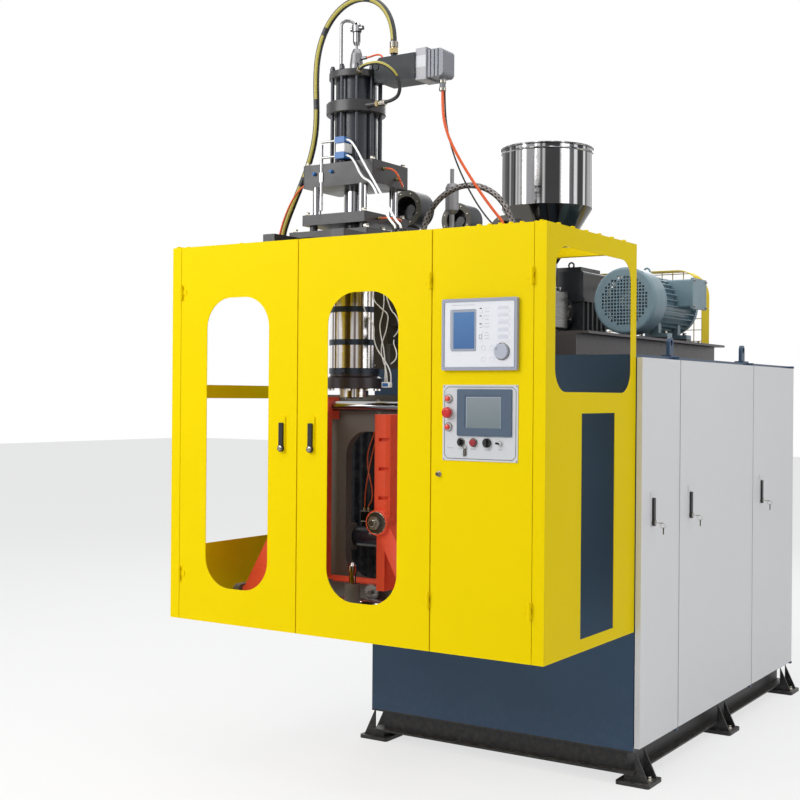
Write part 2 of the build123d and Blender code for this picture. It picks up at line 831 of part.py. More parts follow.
def make_mandrel():
    """Piston rod, core rod and the flared pin that sets the die gap."""
    top = levels["cap"]
    core = 34.0
    shoulder = levels["plate"] + mandrel_drop
    profile = [(0, die_bottom - 6), (39.0, die_bottom - 6), (core, die_bottom + 30), (core, shoulder + 2.0),
               (rod_radius, shoulder + 30.0), (rod_radius, top), (0, top)]
    return turned(profile, head_x, head_y)


boss_height = 108.0


def make_rod_housing():
    """Tapered housing over the rod's upper end, on the cap."""
    z = levels["boss"]
    profile = [(0, z), (30, z), (30, z + 40), (24, z + boss_height - 20), (16, z + boss_height), (0, z + boss_height)]
    body = turned(profile, head_x, head_y)
    body += drum(head_x + 18, head_y, z + 66, 7.0, 34.0, "x")
    return body + drum(head_x, head_y, z + boss_height, 5.0, 18.0)


def make_air_swivel():
    """Polished air pipe from the cap up and over to the swivel above the housing."""
    z = levels["boss"]
    low = Vector(head_x - 62, head_y - 28, z)
    over = z + 236.0
    swivel_z = z + boss_height + 18.0
    points = [low, (low.X, low.Y, over), (head_x - 18, head_y - 10, over - 6), (head_x - 2, head_y, over - 34)]
    path = FilletPolyline(*points, radius=22.0)
    pipe = sweep_round(path, 7.0)
    pipe += drum(low.X, low.Y, z, 12.0, 16.0)
    body = turned([(0, swivel_z), (13, swivel_z), (17, swivel_z + 12), (17, swivel_z + 52), (22, swivel_z + 58),
                   (22, swivel_z + 84), (12, swivel_z + 96), (0, swivel_z + 96)], head_x, head_y)
    body += drum(head_x - 30, head_y, swivel_z + 72, 10.0, 62.0, "x")
    return pipe + body


def sweep_round(path, radius):
    """Round bar along a path, its section square to the path's start."""
    start = path @ 0
    plane = Plane(origin=start, z_dir=path % 0)
    return sweep(plane * Circle(radius), path=path, transition=Transition.ROUND)


manifold_z = 2918.0


def make_manifold():
    """Servo manifold: a chamfered block bolted to the cap's side, on a bracket."""
    x = (head_x + top_flange_radius + 14.0, head_x + 334.0)
    body = block(x, (head_y - 60, head_y + 60), (manifold_z + 6, manifold_z + 112))
    edges = body.edges().filter_by(Axis.Y)
    body = chamfer(edges.sort_by(Axis.X)[:2], 24.0)
    low = manifold_z + 20
    body += block((head_x + upper_tube_radius + 2.0, x[0] + 20), (head_y - 30, head_y + 30), (low, low + 16))
    body += drum(x[0] + 10, head_y - 64, manifold_z + 74, 13.0, 10.0, "y")
    body += drum(x[0] + 60, head_y, manifold_z + 112, 13.0, 26.0)
    body -= tie_rod_shape(tie_radius + 1.0)
    return body


def make_servo_valve():
    """Servo valve: a square body, and a ribbed cap with its plug underneath."""
    x0 = head_x + 334.0
    z = (manifold_z - 2, manifold_z + 128)
    body = block((x0, x0 + 52), (head_y - 52, head_y + 52), z)
    cap_z = (manifold_z + 4, manifold_z + 118)
    cap = block((x0 + 52, x0 + 128), (head_y - 46, head_y + 46), cap_z)
    cap = fillet(cap.edges().filter_by(Axis.Y).sort_by(Axis.X)[2:], 18.0)
    for step in range(3):
        x = x0 + 66 + step * 18
        cap -= block((x, x + 6), (head_y - 47, head_y - 41), cap_z)
        cap -= block((x, x + 6), (head_y + 41, head_y + 47), cap_z)
    body += cap
    body += drum(x0 + 100, head_y, manifold_z - 50, 13.0, 56.0)
    return body


def make_sensors():
    """Two travel sensors with their rods, on the lower tube and the upper plate."""
    solids = []
    face = head_y - tie_circle - tie_radius - 2.0
    for level in (levels["tube"] + 26, levels["tube"] + 92):
        body = block((head_x - 4, head_x + 44), (face - 34, face), (level - 13, level + 13))
        body = fillet(body.edges().filter_by(Axis.Y), 4.0)
        body += drum(head_x - 84, face - 17, level, 5.0, 82.0, "x")
        body += block((head_x + 8, head_x + 32), (face - 1, head_y - lower_tube_radius + 6), (level - 8, level + 8))
        body -= drum(head_x, head_y, level - 20, lower_tube_radius, 40)
        body -= tie_rod_shape(tie_radius)
        solids.append(body)
    rail = drum(head_x - 84, face - 17, levels["pillar"] + 20, 7.0, 280.0)
    rail += block((head_x - 92, head_x - 76), (face - 22, face + 30), (levels["upper"] + 20, levels["upper"] + 60))
    solids = [s - rail for s in solids]
    rail -= make_square_flange("upper", stack_upper_side, stack_upper_depth, stack_upper_thick)
    return group(solids + [rail])


# Extruder on the deck
gearbox_low = bed_top + 20.0
barrel_front = head_y + head_radius
barrel_end = gearbox_front


def make_extruder_bed():
    """Two long channels and cross members that carry the barrel, gearbox and motor."""
    z = (body_top, bed_top)
    bed = block((bed_left, bed_right), (bed_front, bed_back), z)
    bed -= block((bed_left + 90, bed_right - 90), (bed_front + 90, bed_back - 90), z)
    for y in (hopper_y - 40, gearbox_back - 60):
        bed += block((bed_left, bed_right), (y - 60, y + 60), z)
    bed += block((-130.0, -90.0), (bed_front + 20, bed_back - 20), z)
    slot = block((bed_right - 60, bed_right), (bed_front, bed_back), (z[0] + 12, z[1] - 12))
    bed -= slot
    bed -= block((bed_left, bed_left + 60), (bed_front, bed_back), (z[0] + 12, z[1] - 12))
    for y in gearbox_pad_rows():
        bed += block((head_x - 120, head_x + 120), (y - 40, y + 40), (bed_top, gearbox_low))
    for y in (motor_front + 250, motor_front + 530):
        bed += block((motor_x - 150, motor_x + 150), (y - 35, y + 35), (bed_top, bed_top + 20))
    bed += make_barrel_stand()
    return bed


def gearbox_pad_rows():
    return (gearbox_front + 60, gearbox_back - 60)


stand_y = -700.0


def make_barrel_stand():
    """Cradle under the barrel's front part."""
    half = barrel_radius + 22
    stand = block((head_x - 14, head_x + 14), (stand_y - 40, stand_y + 40), (bed_top, barrel_axis_z - 40))
    stand += block((head_x - half, head_x + half), (stand_y - 50, stand_y + 50), (bed_top, bed_top + 16))
    ring = drum(head_x, stand_y - 25, barrel_axis_z, half, 50, "y")
    stand += ring
    return stand - drum(head_x, stand_y - 60, barrel_axis_z, barrel_radius, 120, "y")


def make_gearbox():
    """Ribbed gear case with its input cover, output boss, side flange and lifting eye."""
    x = (head_x - gearbox_half_width, head_x + gearbox_half_width)
    y = (gearbox_front + 40, gearbox_back)
    case = block(x, y, (gearbox_low, gearbox_top - 40))
    case = fillet(case.edges().filter_by(Axis.Y), 14.0)
    case += block((x[0] - 12, x[1] + 12), (y[0] - 8, y[1] + 8), (input_axis_z - 10, input_axis_z + 10))
    case += block((x[0] + 30, x[1] - 30), (y[0] + 30, y[1] - 30), (gearbox_top - 44, gearbox_top - 14))
    case += drum(head_x, gearbox_front, barrel_axis_z, 105, 44, "y")
    case += drum(head_x, gearbox_back - 4, input_axis_z, 70, 24, "y")
    for step in range(5):
        rib_y = y[0] + 40 + step * 60
        case += block((x[0] - 10, x[1] + 10), (rib_y - 5, rib_y + 5), (gearbox_low + 20, input_axis_z - 8))
    eye_z = gearbox_top - 14
    eye = Pos(head_x, (y[0] + y[1]) / 2, eye_z + 24) * Rot(90, 0, 0) * Torus(16, 5)
    case += eye
    case += drum(head_x, (y[0] + y[1]) / 2, eye_z - 2, 9, 14)
    case -= drum(head_x, gearbox_front - 10, barrel_axis_z, barrel_bore, 220, "y")
    case -= drum(head_x, gearbox_back - 120, input_axis_z, shaft_radius + running_gap, 200, "y")
    return case


def make_barrel():
    """Barrel with its head flange, feed throat block and rear flange, bored for the screw."""
    length = barrel_end - barrel_front
    barrel = drum(head_x, barrel_front, barrel_axis_z, barrel_radius, length, "y")
    barrel += drum(head_x, barrel_front + 12, barrel_axis_z, 85, 50, "y")
    barrel += drum(head_x, barrel_end - 30, barrel_axis_z, 95, 30, "y")
    throat = block((head_x - 90, head_x + 90), (hopper_y - 95, hopper_y + 85), (barrel_axis_z - 90, throat_top()))
    barrel += fillet(throat.edges().filter_by(Axis.Y), 12.0)
    barrel -= drum(head_x, barrel_front - 1, barrel_axis_z, barrel_bore, length + 2, "y")
    barrel -= drum(head_x, hopper_y, barrel_axis_z, 40, 200)
    contact = drum(head_x, head_y, barrel_axis_z - 200, head_radius, 400)
    reach = drum(head_x, head_y + 60, barrel_axis_z, barrel_radius, 80, "y") - contact
    return barrel + (reach - drum(head_x, head_y + 40, barrel_axis_z, barrel_bore, 120, "y"))


def throat_top():
    return barrel_axis_z + throat_height


screw_root = 20.0
screw_radius = 30.0
screw_lead = 60.0


def make_screw():
    """Screw: a stepped core with a flight of one turn a lead, made as slanted discs."""
    start = barrel_front + 10
    end = gearbox_front + 180
    core = drum(head_x, start, barrel_axis_z, screw_root, end - start, "y")
    core += drum(head_x, barrel_end - 100, barrel_axis_z, screw_radius, end - barrel_end + 100, "y")
    turns = int((barrel_end - 140 - start) / screw_lead)
    for turn in range(turns):
        y = start + 20 + turn * screw_lead
        core += drum(head_x, y, barrel_axis_z, screw_radius, 8, "y")
    return core


blower_rows = [-1055.0, -600.0, -115.0]
blower_rise = 396.0
blower_radius = 84.0


def band_starts():
    """Front ends of the heater bands: as many as fit between the other things on the barrel."""
    taken = [(barrel_front, barrel_front + 75), (stand_y - 62, stand_y + 62), (hopper_y - 110, barrel_end)]
    taken += [(y - jacket_half - 8, y + jacket_half + 8) for y in blower_rows]
    taken.sort()
    starts = []
    for before, after in zip(taken[:-1], taken[1:]):
        room = after[0] - before[1] - 16
        count = int((room + band_space) / (band_length + band_space))
        spare = (room - count * band_length) / (count + 1) if count else 0
        starts += [before[1] + 8 + spare + i * (band_length + spare) for i in range(count)]
    return starts


def make_heater_bands():
    """Heater bands round the barrel, and the clamping bands round the head."""
    solids = []
    for y in band_starts():
        band = drum(head_x, y, barrel_axis_z, band_radius, band_length, "y")
        band += block((head_x - 20, head_x + 20), (y + 20, y + 80), (barrel_axis_z + 60, barrel_axis_z + band_radius + 22))
        solids.append(band - drum(head_x, y - 1, barrel_axis_z, barrel_radius, band_length + 2, "y"))
    for z in (1700.0, 1822.0, 1962.0):
        band = drum(head_x, head_y, z, head_radius + 5, 24)
        band += block((head_x + 10, head_x + 34), (head_y - head_radius - 16, head_y - head_radius + 10), (z + 4, z + 20))
        solids.append(band - drum(head_x, head_y, z - 1, head_radius, 26))
    return group(solids)


def make_blowers():
    """Barrel cooling blowers: a round housing with its inlet to the front, on a duct."""
    solids = []
    z = barrel_axis_z + blower_rise
    for y in blower_rows:
        body = drum(head_x, y - 60, z, blower_radius, 110, "y")
        body -= drum(head_x, y - 61, z, blower_radius - 30, 70, "y")
        body = body + drum(head_x, y - 20, z, 22, 20, "y")
        body += block((head_x - blower_radius, head_x + 10), (y - 50, y + 40), (z - 130, z))
        body -= drum(head_x, y - 61, z, blower_radius - 30, 41, "y")
        body += block((head_x - 62, head_x - 22), (y - 28, y + 26), (barrel_axis_z + 40, z - 120))
        body += drum(head_x, y - jacket_half, barrel_axis_z, band_radius + 4, 2 * jacket_half, "y")
        body -= drum(head_x, y - 100, barrel_axis_z, barrel_radius, 240, "y")
        solids.append(body)
    return group(solids)


rim_radius = 6.0


def make_hopper():
    """Rolled-rim hopper: cylinder, cone, neck and foot flange, open from top to throat."""
    foot = throat_top()
    neck = foot + 150.0
    cone = neck + hopper_cone_height
    top = cone + hopper_body_height
    r, n, w = hopper_radius, hopper_neck_radius, hopper_wall
    profile = [(n - w, foot), (n + 28, foot), (n + 28, foot + 12), (n, foot + 12), (n, neck), (r, cone),
               (r, top), (r - w, top), (r - w, cone + 1), (n - w, neck + 1)]
    hopper = turned(profile, head_x, hopper_y)
    hopper += Pos(head_x, hopper_y, top - rim_radius) * Torus(r + 2, rim_radius)
    hopper += Pos(head_x, hopper_y, top - 34) * Torus(r - 1, 4.0)
    return hopper


cowl_hole = 11.0
cowl_pitch = 17.0


def make_motor():
    """Finned motor with its feet, end shields, fan cowl with a grille, and wiring box."""
    back = gearbox_back
    front = motor_front
    body_front = front + cowl_length
    length = back - body_front - 40
    body = drum(motor_x, body_front, motor_z, motor_radius - 22, length, "y")
    for angle in range(0, 360, 12):
        fin = block((-3, 3), (body_front + 30, body_front + length - 30), (motor_radius - 30, motor_radius))
        body += Pos(motor_x, 0, motor_z) * Rot(0, angle, 0) * fin
    body += drum(motor_x, body_front, motor_z, motor_radius + 4, 30, "y")
    body += drum(motor_x, body_front + length - 30, motor_z, motor_radius + 4, 30, "y")
    body += turned_y([(0, back - 40), (motor_radius - 30, back - 40), (60, back - 8), (0, back - 8)])
    for y in (front + 250, front + 530):
        for side in (-1, 1):
            span = sorted((motor_x + side * 60, motor_x + side * 150))
            body += block(span, (y - 35, y + 35), (bed_top + 20, bed_top + 40))
            web = sorted((motor_x + side * 70, motor_x + side * 95))
            body += block(web, (y - 20, y + 20), (bed_top + 30, motor_z - 60))
    cowl = drum(motor_x, front, motor_z, cowl_radius, cowl_length, "y")
    cowl = fillet(cowl.edges().filter_by(GeomType.CIRCLE).sort_by(Axis.Y)[0], 14.0)
    cowl -= drum(motor_x, front + 6, motor_z, cowl_radius - 4, cowl_length, "y")
    body += cowl - make_grille()
    for angle in (45, 135, 225, 315):
        arm = block((-10, 10), (body_front - 6, body_front + 12), (motor_radius - 6, cowl_radius - 2))
        body += Pos(motor_x, 0, motor_z) * Rot(0, angle, 0) * arm
    box_x = (motor_x + 60, motor_x + motor_radius + 70)
    box = block(box_x, (front + 370, front + 560), (motor_z - 20, motor_z + 130))
    body += fillet(box.edges().filter_by(Axis.X), 10.0)
    body += block((box_x[1], box_x[1] + 14), (front + 364, front + 566), (motor_z - 26, motor_z + 136))
    eye_y = front + 300
    body += Pos(motor_x, eye_y, motor_z + motor_radius + 24) * Rot(90, 0, 0) * Torus(16, 5)
    body += drum(motor_x, eye_y, motor_z + motor_radius - 30, 9, 42)
    body -= drum(motor_x, front + 20, motor_z, shaft_radius + running_gap, back, "y")
    return body


def turned_y(profile):
    """Solid turned about the motor's axis from (radius, y) points."""
    face = Plane.XY * make_face(Polyline(*profile, close=True))
    return Pos(motor_x, 0, motor_z) * revolve(face, Axis.Y)


def make_grille():
    """Square air holes in rows across the cowl's face."""
    cuts = None
    count = int(cowl_radius / cowl_pitch)
    for i in range(-count, count + 1):
        for j in range(-count, count + 1):
            x, z = i * cowl_pitch, j * cowl_pitch
            if (x * x + z * z) ** 0.5 < cowl_radius - 44:
                hole = block((motor_x + x - cowl_hole / 2, motor_x + x + cowl_hole / 2),
                             (motor_front - 1, motor_front + 7),
                             (motor_z + z - cowl_hole / 2, motor_z + z + cowl_hole / 2))
                cuts = hole if cuts is None else cuts + hole
    return cuts


def make_motor_rotor():
    """Motor shaft with its fan and the small grooved pulley."""
    shaft = drum(motor_x, motor_front + 30, motor_z, shaft_radius, pulley_front + pulley_width - motor_front - 30, "y")
    hub_y = motor_front + 40
    shaft += drum(motor_x, hub_y, motor_z, 40, 60, "y")
    for angle in range(0, 360, 45):
        blade = block((-3, 3), (hub_y + 5, hub_y + 55), (36, cowl_radius - 20))
        shaft += Pos(motor_x, 0, motor_z) * Rot(0, angle, 0) * blade
    return shaft + grooved_pulley(motor_x, motor_z, small_pulley)


groove_count = 3


def grooved_pulley(x, z, radius):
    """Pulley with square-bottomed grooves, turned about Y."""
    pulley = drum(x, pulley_front, z, radius + 6, pulley_width, "y")
    for y in groove_rows():
        ring = drum(x, y, z, radius + 8, 14, "y") - drum(x, y, z, radius, 14, "y")
        pulley -= ring
    return pulley


def groove_rows():
    pitch = pulley_width / groove_count
    return [pulley_front + pitch * (i + 0.5) - 7 for i in range(groove_count)]


def make_gearbox_pulley():
    """Input shaft of the gear case with its large grooved pulley."""
    start = gearbox_back - 110
    shaft = drum(head_x, start, input_axis_z, shaft_radius, pulley_front + pulley_width - start, "y")
    pulley = grooved_pulley(head_x, input_axis_z, big_pulley)
    for dx, dz in ring_places(5, 82.0):
        pulley -= drum(head_x + dx, pulley_front, input_axis_z + dz, 26, pulley_width, "y")
    return shaft + pulley


def make_belts():
    """Three belts round both pulleys, each a closed loop."""
    solids = []
    for y in groove_rows():
        outer = belt_loop(seat_gap + belt_thick, y + 1, 12)
        inner = belt_loop(seat_gap, y, 14)
        solids.append(outer - inner)
    return group(solids)


def belt_loop(offset, y, width):
    """Filled outline of a belt that lies offset from the pulleys' groove bottoms."""
    rb, rs = big_pulley + offset, small_pulley + offset
    big = Pos(head_x, y, input_axis_z) * Rot(-90, 0, 0) * extrude(Circle(rb), width)
    small = Pos(motor_x, y, motor_z) * Rot(-90, 0, 0) * extrude(Circle(rs), width)
    dx, dz = motor_x - head_x, motor_z - input_axis_z
    gap = (dx * dx + dz * dz) ** 0.5
    ux, uz = dx / gap, dz / gap
    s = (rb - rs) / gap
    c = (1 - s * s) ** 0.5
    corners = []
    for side in (1, -1):
        nx, nz = ux * s - side * uz * c, uz * s + side * ux * c
        pair = [(head_x + nx * rb, input_axis_z + nz * rb), (motor_x + nx * rs, motor_z + nz * rs)]
        corners += pair if side == 1 else pair[::-1]
    web = Plane.XZ * make_face(Polyline(*corners, close=True))
    return big + small + Pos(0, y + width, 0) * extrude(web, width)


band_sheet = 4.0
band_corner = 150.0
mesh_pitch = 64.0
mesh_wire = 4.0


def make_belt_guard():
    """Arched band over the belts with a wire mesh in both faces, on feet."""
    y = (guard_band_front, guard_band_front + guard_band_width)
    x = (guard_band_left, guard_band_right)
    z = (bed_top - 300, guard_band_top)
    arch = pane_y(x, z, band_corner, y)
    arch -= pane_y((x[0] + band_sheet, x[1] - band_sheet), (z[0], z[1] - band_sheet), band_corner - band_sheet,
                   (y[0] - 1, y[1] + 1))
    arch &= block((x[0] - 5, x[1] + 5), y, (bed_top, z[1] + 5))
    inner = pane_y(x, z, band_corner, (y[0], y[1])) & block(x, y, (bed_top, z[1]))
    rows = int((z[1] - bed_top) / mesh_pitch)
    columns = int((x[1] - x[0]) / mesh_pitch)
    wires = None
    for i in range(1, columns + 1):
        wire_x = x[0] + i * mesh_pitch - mesh_pitch / 2
        wire = block((wire_x, wire_x + mesh_wire), (y[1] - mesh_wire, y[1]), (bed_top, z[1]))
        wires = wire if wires is None else wires + wire
    for j in range(rows + 1):
        wire_z = bed_top + 20 + j * mesh_pitch
        wires += block(x, (y[1] - 2 * mesh_wire, y[1] - mesh_wire + 1), (wire_z, wire_z + mesh_wire))
    arch += wires & inner
    for at in (x[0], x[1] - 60):
        arch += block((at, at + 60), y, (bed_top, bed_top + 6))
    return arch


# Mould clamp inside the guard
plate_y = (guard_front + clamp_plate_front, guard_front + clamp_plate_front + clamp_plate_thick)
upper_bar_y = head_y + 145.0
lower_bar_rows = [head_y - 120.0, head_y + 75.0]
cheek_x = clamp_plate_half - cheek_thick
foot_low = guard_bottom + 12.0
foot_top = lower_bar_z + 64.0


def bar_places():
    """(y, z) of each guide bar."""
    return [(upper_bar_y, upper_bar_z)] + [(y, lower_bar_z) for y in lower_bar_rows]


def make_clamp_frame():
    """Thick back plate with its tall slot, cheeks that hold the bars, spacers and blow pin seat."""
    x = (head_x - clamp_plate_half, head_x + clamp_plate_half)
    frame = block(x, plate_y, (clamp_plate_low, clamp_plate_high))
    frame -= pane_y((head_x - slot_left, head_x + slot_right), (slot_low, slot_high), slot_corner,
                    (plate_y[0] - 1, plate_y[1] + 1))
    for side in (-1, 1):
        span = sorted((head_x + side * clamp_plate_half, head_x + side * cheek_x))
        front = lower_bar_rows[0] - 60
        low_arm = block(span, (front, plate_y[0]), (clamp_plate_low, lower_bar_z + 70))
        frame += fillet(low_arm.edges().filter_by(Axis.X).sort_by(Axis.Y)[:2], 30.0)
        frame += block(span, (upper_bar_y - 50, plate_y[0]), (upper_bar_z - 60, clamp_plate_high))
    for x_at in (base_left + 60.0, head_x + clamp_plate_half - 70):
        for z_at in (clamp_plate_low + 60, clamp_plate_high - 130):
            frame += block((x_at, x_at + 70), (plate_y[1], base_front), (z_at, z_at + 70))
    for y, z in bar_places():
        frame -= drum(x[0] - 1, y, z, bar_radius, 2 * clamp_plate_half + 2, "x")
    seat = block((head_x - 45, head_x + 45), (head_y - 45, plate_y[0]), (clamp_plate_low, clamp_plate_low + 25))
    seat += drum(head_x, head_y, clamp_plate_low + 25, 34, 160)
    seat -= drum(head_x, head_y, clamp_plate_low + 10, pin_radius + running_gap, 200)
    frame += seat
    for x_at in saddle_places():
        saddle = block((x_at, x_at + 40), (plate_y[1], ram_y), (ram_z - 60, ram_z + 60))
        frame += saddle - drum(x_at - 1, ram_y, ram_z, ram_radius, 42, "x")
    axle = drum(gear_x, plate_y[0] - 60, gear_z, axle_radius, 60, "y")
    return frame + axle


pin_radius = 15.0
ram_radius = 45.0
ram_rod = 20.0
ram_z = 964.0
ram_y = plate_y[1] + 55.0
ram_tail = -100.0
gear_x = head_x
gear_z = 740.0
axle_radius = 10.0


def saddle_places():
    return (head_x - 330.0, head_x - slot_left - 46.0)


def make_guide_bars():
    """Three polished guide bars between the cheeks."""
    length = 2 * clamp_plate_half
    return group([drum(head_x - clamp_plate_half, y, z, bar_radius, length, "x") for y, z in bar_places()])


def make_ram():
    """Clamp ram's barrel, behind the plate."""
    start = head_x - 350.0
    body = drum(start, ram_y, ram_z, ram_radius, 370.0, "x")
    return body - drum(start + 30, ram_y, ram_z, ram_rod + running_gap, 400.0, "x")


def make_platen(side):
    """Cast half of the clamp: mould plate, ribbed column, pin boss, raking arm and foot."""
    inner = mould_half_gap

    def at(low, high):
        return sorted((head_x + side * low, head_x + side * high))

    back = head_y + 130.0
    front = head_y - 130.0
    cast = block(at(inner, inner + mould_plate_thick), (front, back), (800.0, 1530.0))
    column = block(at(inner, inner + 78), (front - 34, front + 40), (1110.0, 1530.0))
    cast += chamfer(column.edges().filter_by(Axis.Z).sort_by(Axis.Y)[:2], 14.0)
    for z in (1180.0, 1300.0, 1420.0):
        cast -= block(at(inner + 30, inner + 79), (front - 35, front - 18), (z, z + 14))
    boss_z = 1086.0
    cast += drum(head_x + side * (inner + 30), front - 48, boss_z, 52, 60, "y")
    pin = extrude(RegularPolygon(30.0, 6), 22.0)
    cast += Pos(head_x + side * (inner + 30), front - 48, boss_z) * Rot(90, 0, 0) * pin
    corners = [(inner, boss_z), (inner + 62, boss_z + 20), (inner + 262, foot_top - 4.0), (inner + 170, foot_top - 4.0)]
    corners = [(head_x + side * x, z) for x, z in corners]
    arm = Plane.XZ * make_face(Polyline(*corners, close=True))
    cast += Pos(0, front + 30, 0) * extrude(arm, 60.0)
    foot = block(at(inner + 160, inner + 270), (lower_bar_rows[0] - 40, lower_bar_rows[1] + 40), (foot_low, foot_top))
    cast += foot
    cast += block(at(inner, inner + 60), (upper_bar_y - 45, upper_bar_y + 40), (1500.0, upper_bar_z + 40))
    for y, z in bar_places():
        cast -= drum(head_x - clamp_plate_half, y, z, bar_radius + running_gap, 2 * clamp_plate_half, "x")
    cast += make_rack(side)
    for dy in (-90.0, 90.0):
        for dz in (-250.0, 250.0):
            start = head_x + inner if side > 0 else head_x - inner - mould_plate_thick
            cast -= drum(start, head_y + dy, 1165.0 + dz, 8.0, mould_plate_thick, "x")
    if side > 0:
        lug_x = at(inner + 8, inner + 36)
        cast += block(lug_x, (back - 20, ram_y + 30), (ram_z - 34, ram_z + 34))
        cast += drum(head_x + ram_tail, ram_y, ram_z, ram_rod, inner + 10 - ram_tail, "x")
    return cast


rack_thick = 18.0
tooth = gear_module
rack_front = plate_y[0] - 46.0


def make_rack(side):
    """Rack bar from a platen's foot to past the pinion, toothed on the pinion's side."""
    pitch = pi * tooth
    radius = tooth * gear_teeth / 2
    way = -side
    line = gear_z + way * radius
    y = (rack_front, rack_front + gear_width)
    root = line + way * 1.25 * tooth
    back = root + way * rack_thick
    start = mould_half_gap + 270.0
    x = sorted((head_x + side * start, head_x - side * 50.0))
    bar = block(x, y, sorted((root, back)))
    count = 18
    for i in range(-count, count):
        middle = gear_x + (i + 0.5) * pitch
        if x[0] + 8 < middle < x[1] - 8 and side * (middle - gear_x) < clamp_stroke + 60:
            tip = line - way * 0.9 * tooth
            wide, thin = 0.25 * pitch + 1.25 * tooth * tan(radians(20)), 0.25 * pitch - 0.9 * tooth * tan(radians(20))
            wide, thin = wide - 0.35, thin - 0.35
            corners = [(middle - wide, root), (middle - thin, tip), (middle + thin, tip), (middle + wide, root)]
            face = Plane.XZ * make_face(Polyline(*corners, close=True))
            bar += Pos(0, y[1], 0) * extrude(face, gear_width)
    low_y = lower_bar_rows[1] + 40
    join_x = sorted((head_x + side * (start - 110), head_x + side * start))
    join_z = (min(root, back, foot_top - 12.0), max(root, back))
    bar += block(join_x, (low_y - 5, rack_front + gear_width), join_z)
    return bar


def make_pinion():
    """Pinion that keeps both platens level with each other, with straight-flanked teeth."""
    radius = tooth * gear_teeth / 2
    y = rack_front
    gear = drum(gear_x, y, gear_z, radius - 1.25 * tooth, gear_width, "y")
    outer = radius + 0.9 * tooth
    base = radius - 1.3 * tooth
    half_root = radius * (pi / gear_teeth / 2) + 1.1
    half_tip = radius * (pi / gear_teeth / 2) - 1.9
    for i in range(gear_teeth):
        corners = [(-half_root, base), (-half_tip, outer), (half_tip, outer), (half_root, base)]
        face = Plane.XZ * make_face(Polyline(*corners, close=True))
        one = Pos(0, gear_width, 0) * extrude(face, gear_width)
        gear += Pos(gear_x, y, gear_z) * Rot(0, 360.0 * i / gear_teeth, 0) * one
    return gear - drum(gear_x, y - 1, gear_z, axle_radius + running_gap, gear_width + 2, "y")


def make_blow_pin():
    """Blow pin with its calibrating tip, sliding in its seat below the head."""
    low = clamp_plate_low + 12.0
    pin = drum(head_x, head_y, low, pin_radius, 230.0)
    pin += drum(head_x, head_y, low + 225, 22.0, 26.0)
    return pin + Pos(head_x, head_y, low + 251) * Cone(22.0, 10.0, 14.0, align=(Align.CENTER, Align.CENTER, Align.MIN))


# Inside the cabinet
def make_hydraulic_unit():
    """Oil tank with its lid, pump motor, pump and filler, in the middle bay."""
    y = (bay_splits[1] + 120, bay_splits[2] - 120)
    x = (base_left + 120, base_right - 180)
    floor = body_bottom + body_wall
    tank = block(x, y, (floor, floor + 520))
    tank = fillet(tank.edges().filter_by(Axis.Z), 16.0)
    tank += block((x[0] - 12, x[1] + 12), (y[0] - 12, y[1] + 12), (floor + 516, floor + 530))
    middle = (y[0] + y[1]) / 2
    tank += drum(0, y[0] + 120, floor + 690, 120, 380, "y")
    tank += drum(0, y[0] + 60, floor + 690, 60, 70, "y")
    for at in (y[0] + 180, y[0] + 430):
        tank += block((-110, 110), (at - 20, at + 20), (floor + 528, floor + 620))
    tank += drum(x[0] + 100, middle + 200, floor + 528, 40, 70)
    return tank


def make_electrical_panel():
    """Back plate with rows of switchgear and wiring ducts, in the rear bay."""
    y = (bay_splits[2] + 60, base_back - 60)
    x = base_left + body_wall
    z = (body_bottom + 160, body_top - 160)
    plate = block((x, x + 25), y, z)
    for row in range(4):
        low = z[0] + 60 + row * 320
        plate += block((x + 24, x + 84), (y[0] + 20, y[1] - 20), (low - 50, low - 10))
        for column in range(5):
            start = y[0] + 40 + column * 108
            plate += block((x + 24, x + 120 + 10 * (column % 2)), (start, start + 76), (low + 20, low + 180))
    return plate




def make_silencer():
    """Exhaust silencer on its riser, standing on the guard's rear rail."""
    x, y = head_x + 240.0, base_front - guard_flange / 2
    z = guard_top
    profile = [(0, z), (20, z), (20, z + 24), (11, z + 24), (11, z + 180), (18, z + 186), (30, z + 200),
               (30, z + 300), (22, z + 318), (9, z + 322), (9, z + 385), (0, z + 385)]
    return turned(profile, x, y)


# Hoses: each a tube of straight runs and tangent arcs along hand-chosen points
def hose_radii(points):
    """Arc radius at each inner point: 0.45 of the shorter run over tan(half the turn)."""
    radii = []
    places = [Vector(*p) for p in points]
    for before, here, after in zip(places[:-2], places[1:-1], places[2:]):
        run_in, run_out = here - before, after - here
        turn = radians(run_in.get_angle(run_out))
        radii.append(0.45 * min(run_in.length, run_out.length) / tan(turn / 2))
    return radii


def make_hose(name, points, radius):
    radii = hose_radii(points)
    path = FilletPolyline(*points, radius=radii)
    hose = sweep_round(path, radius)
    want = pi * radius * radius * path.length
    print(name, "length", round(path.length), "least radius", round(min(radii)), "of", round(radius * 2),
          "volume share", round(hose.volume / want, 4))
    return hose


def local_points(points):
    """Points given from the head's axis, with the true height."""
    return [(head_x + x, head_y + y, z) for x, y, z in points]


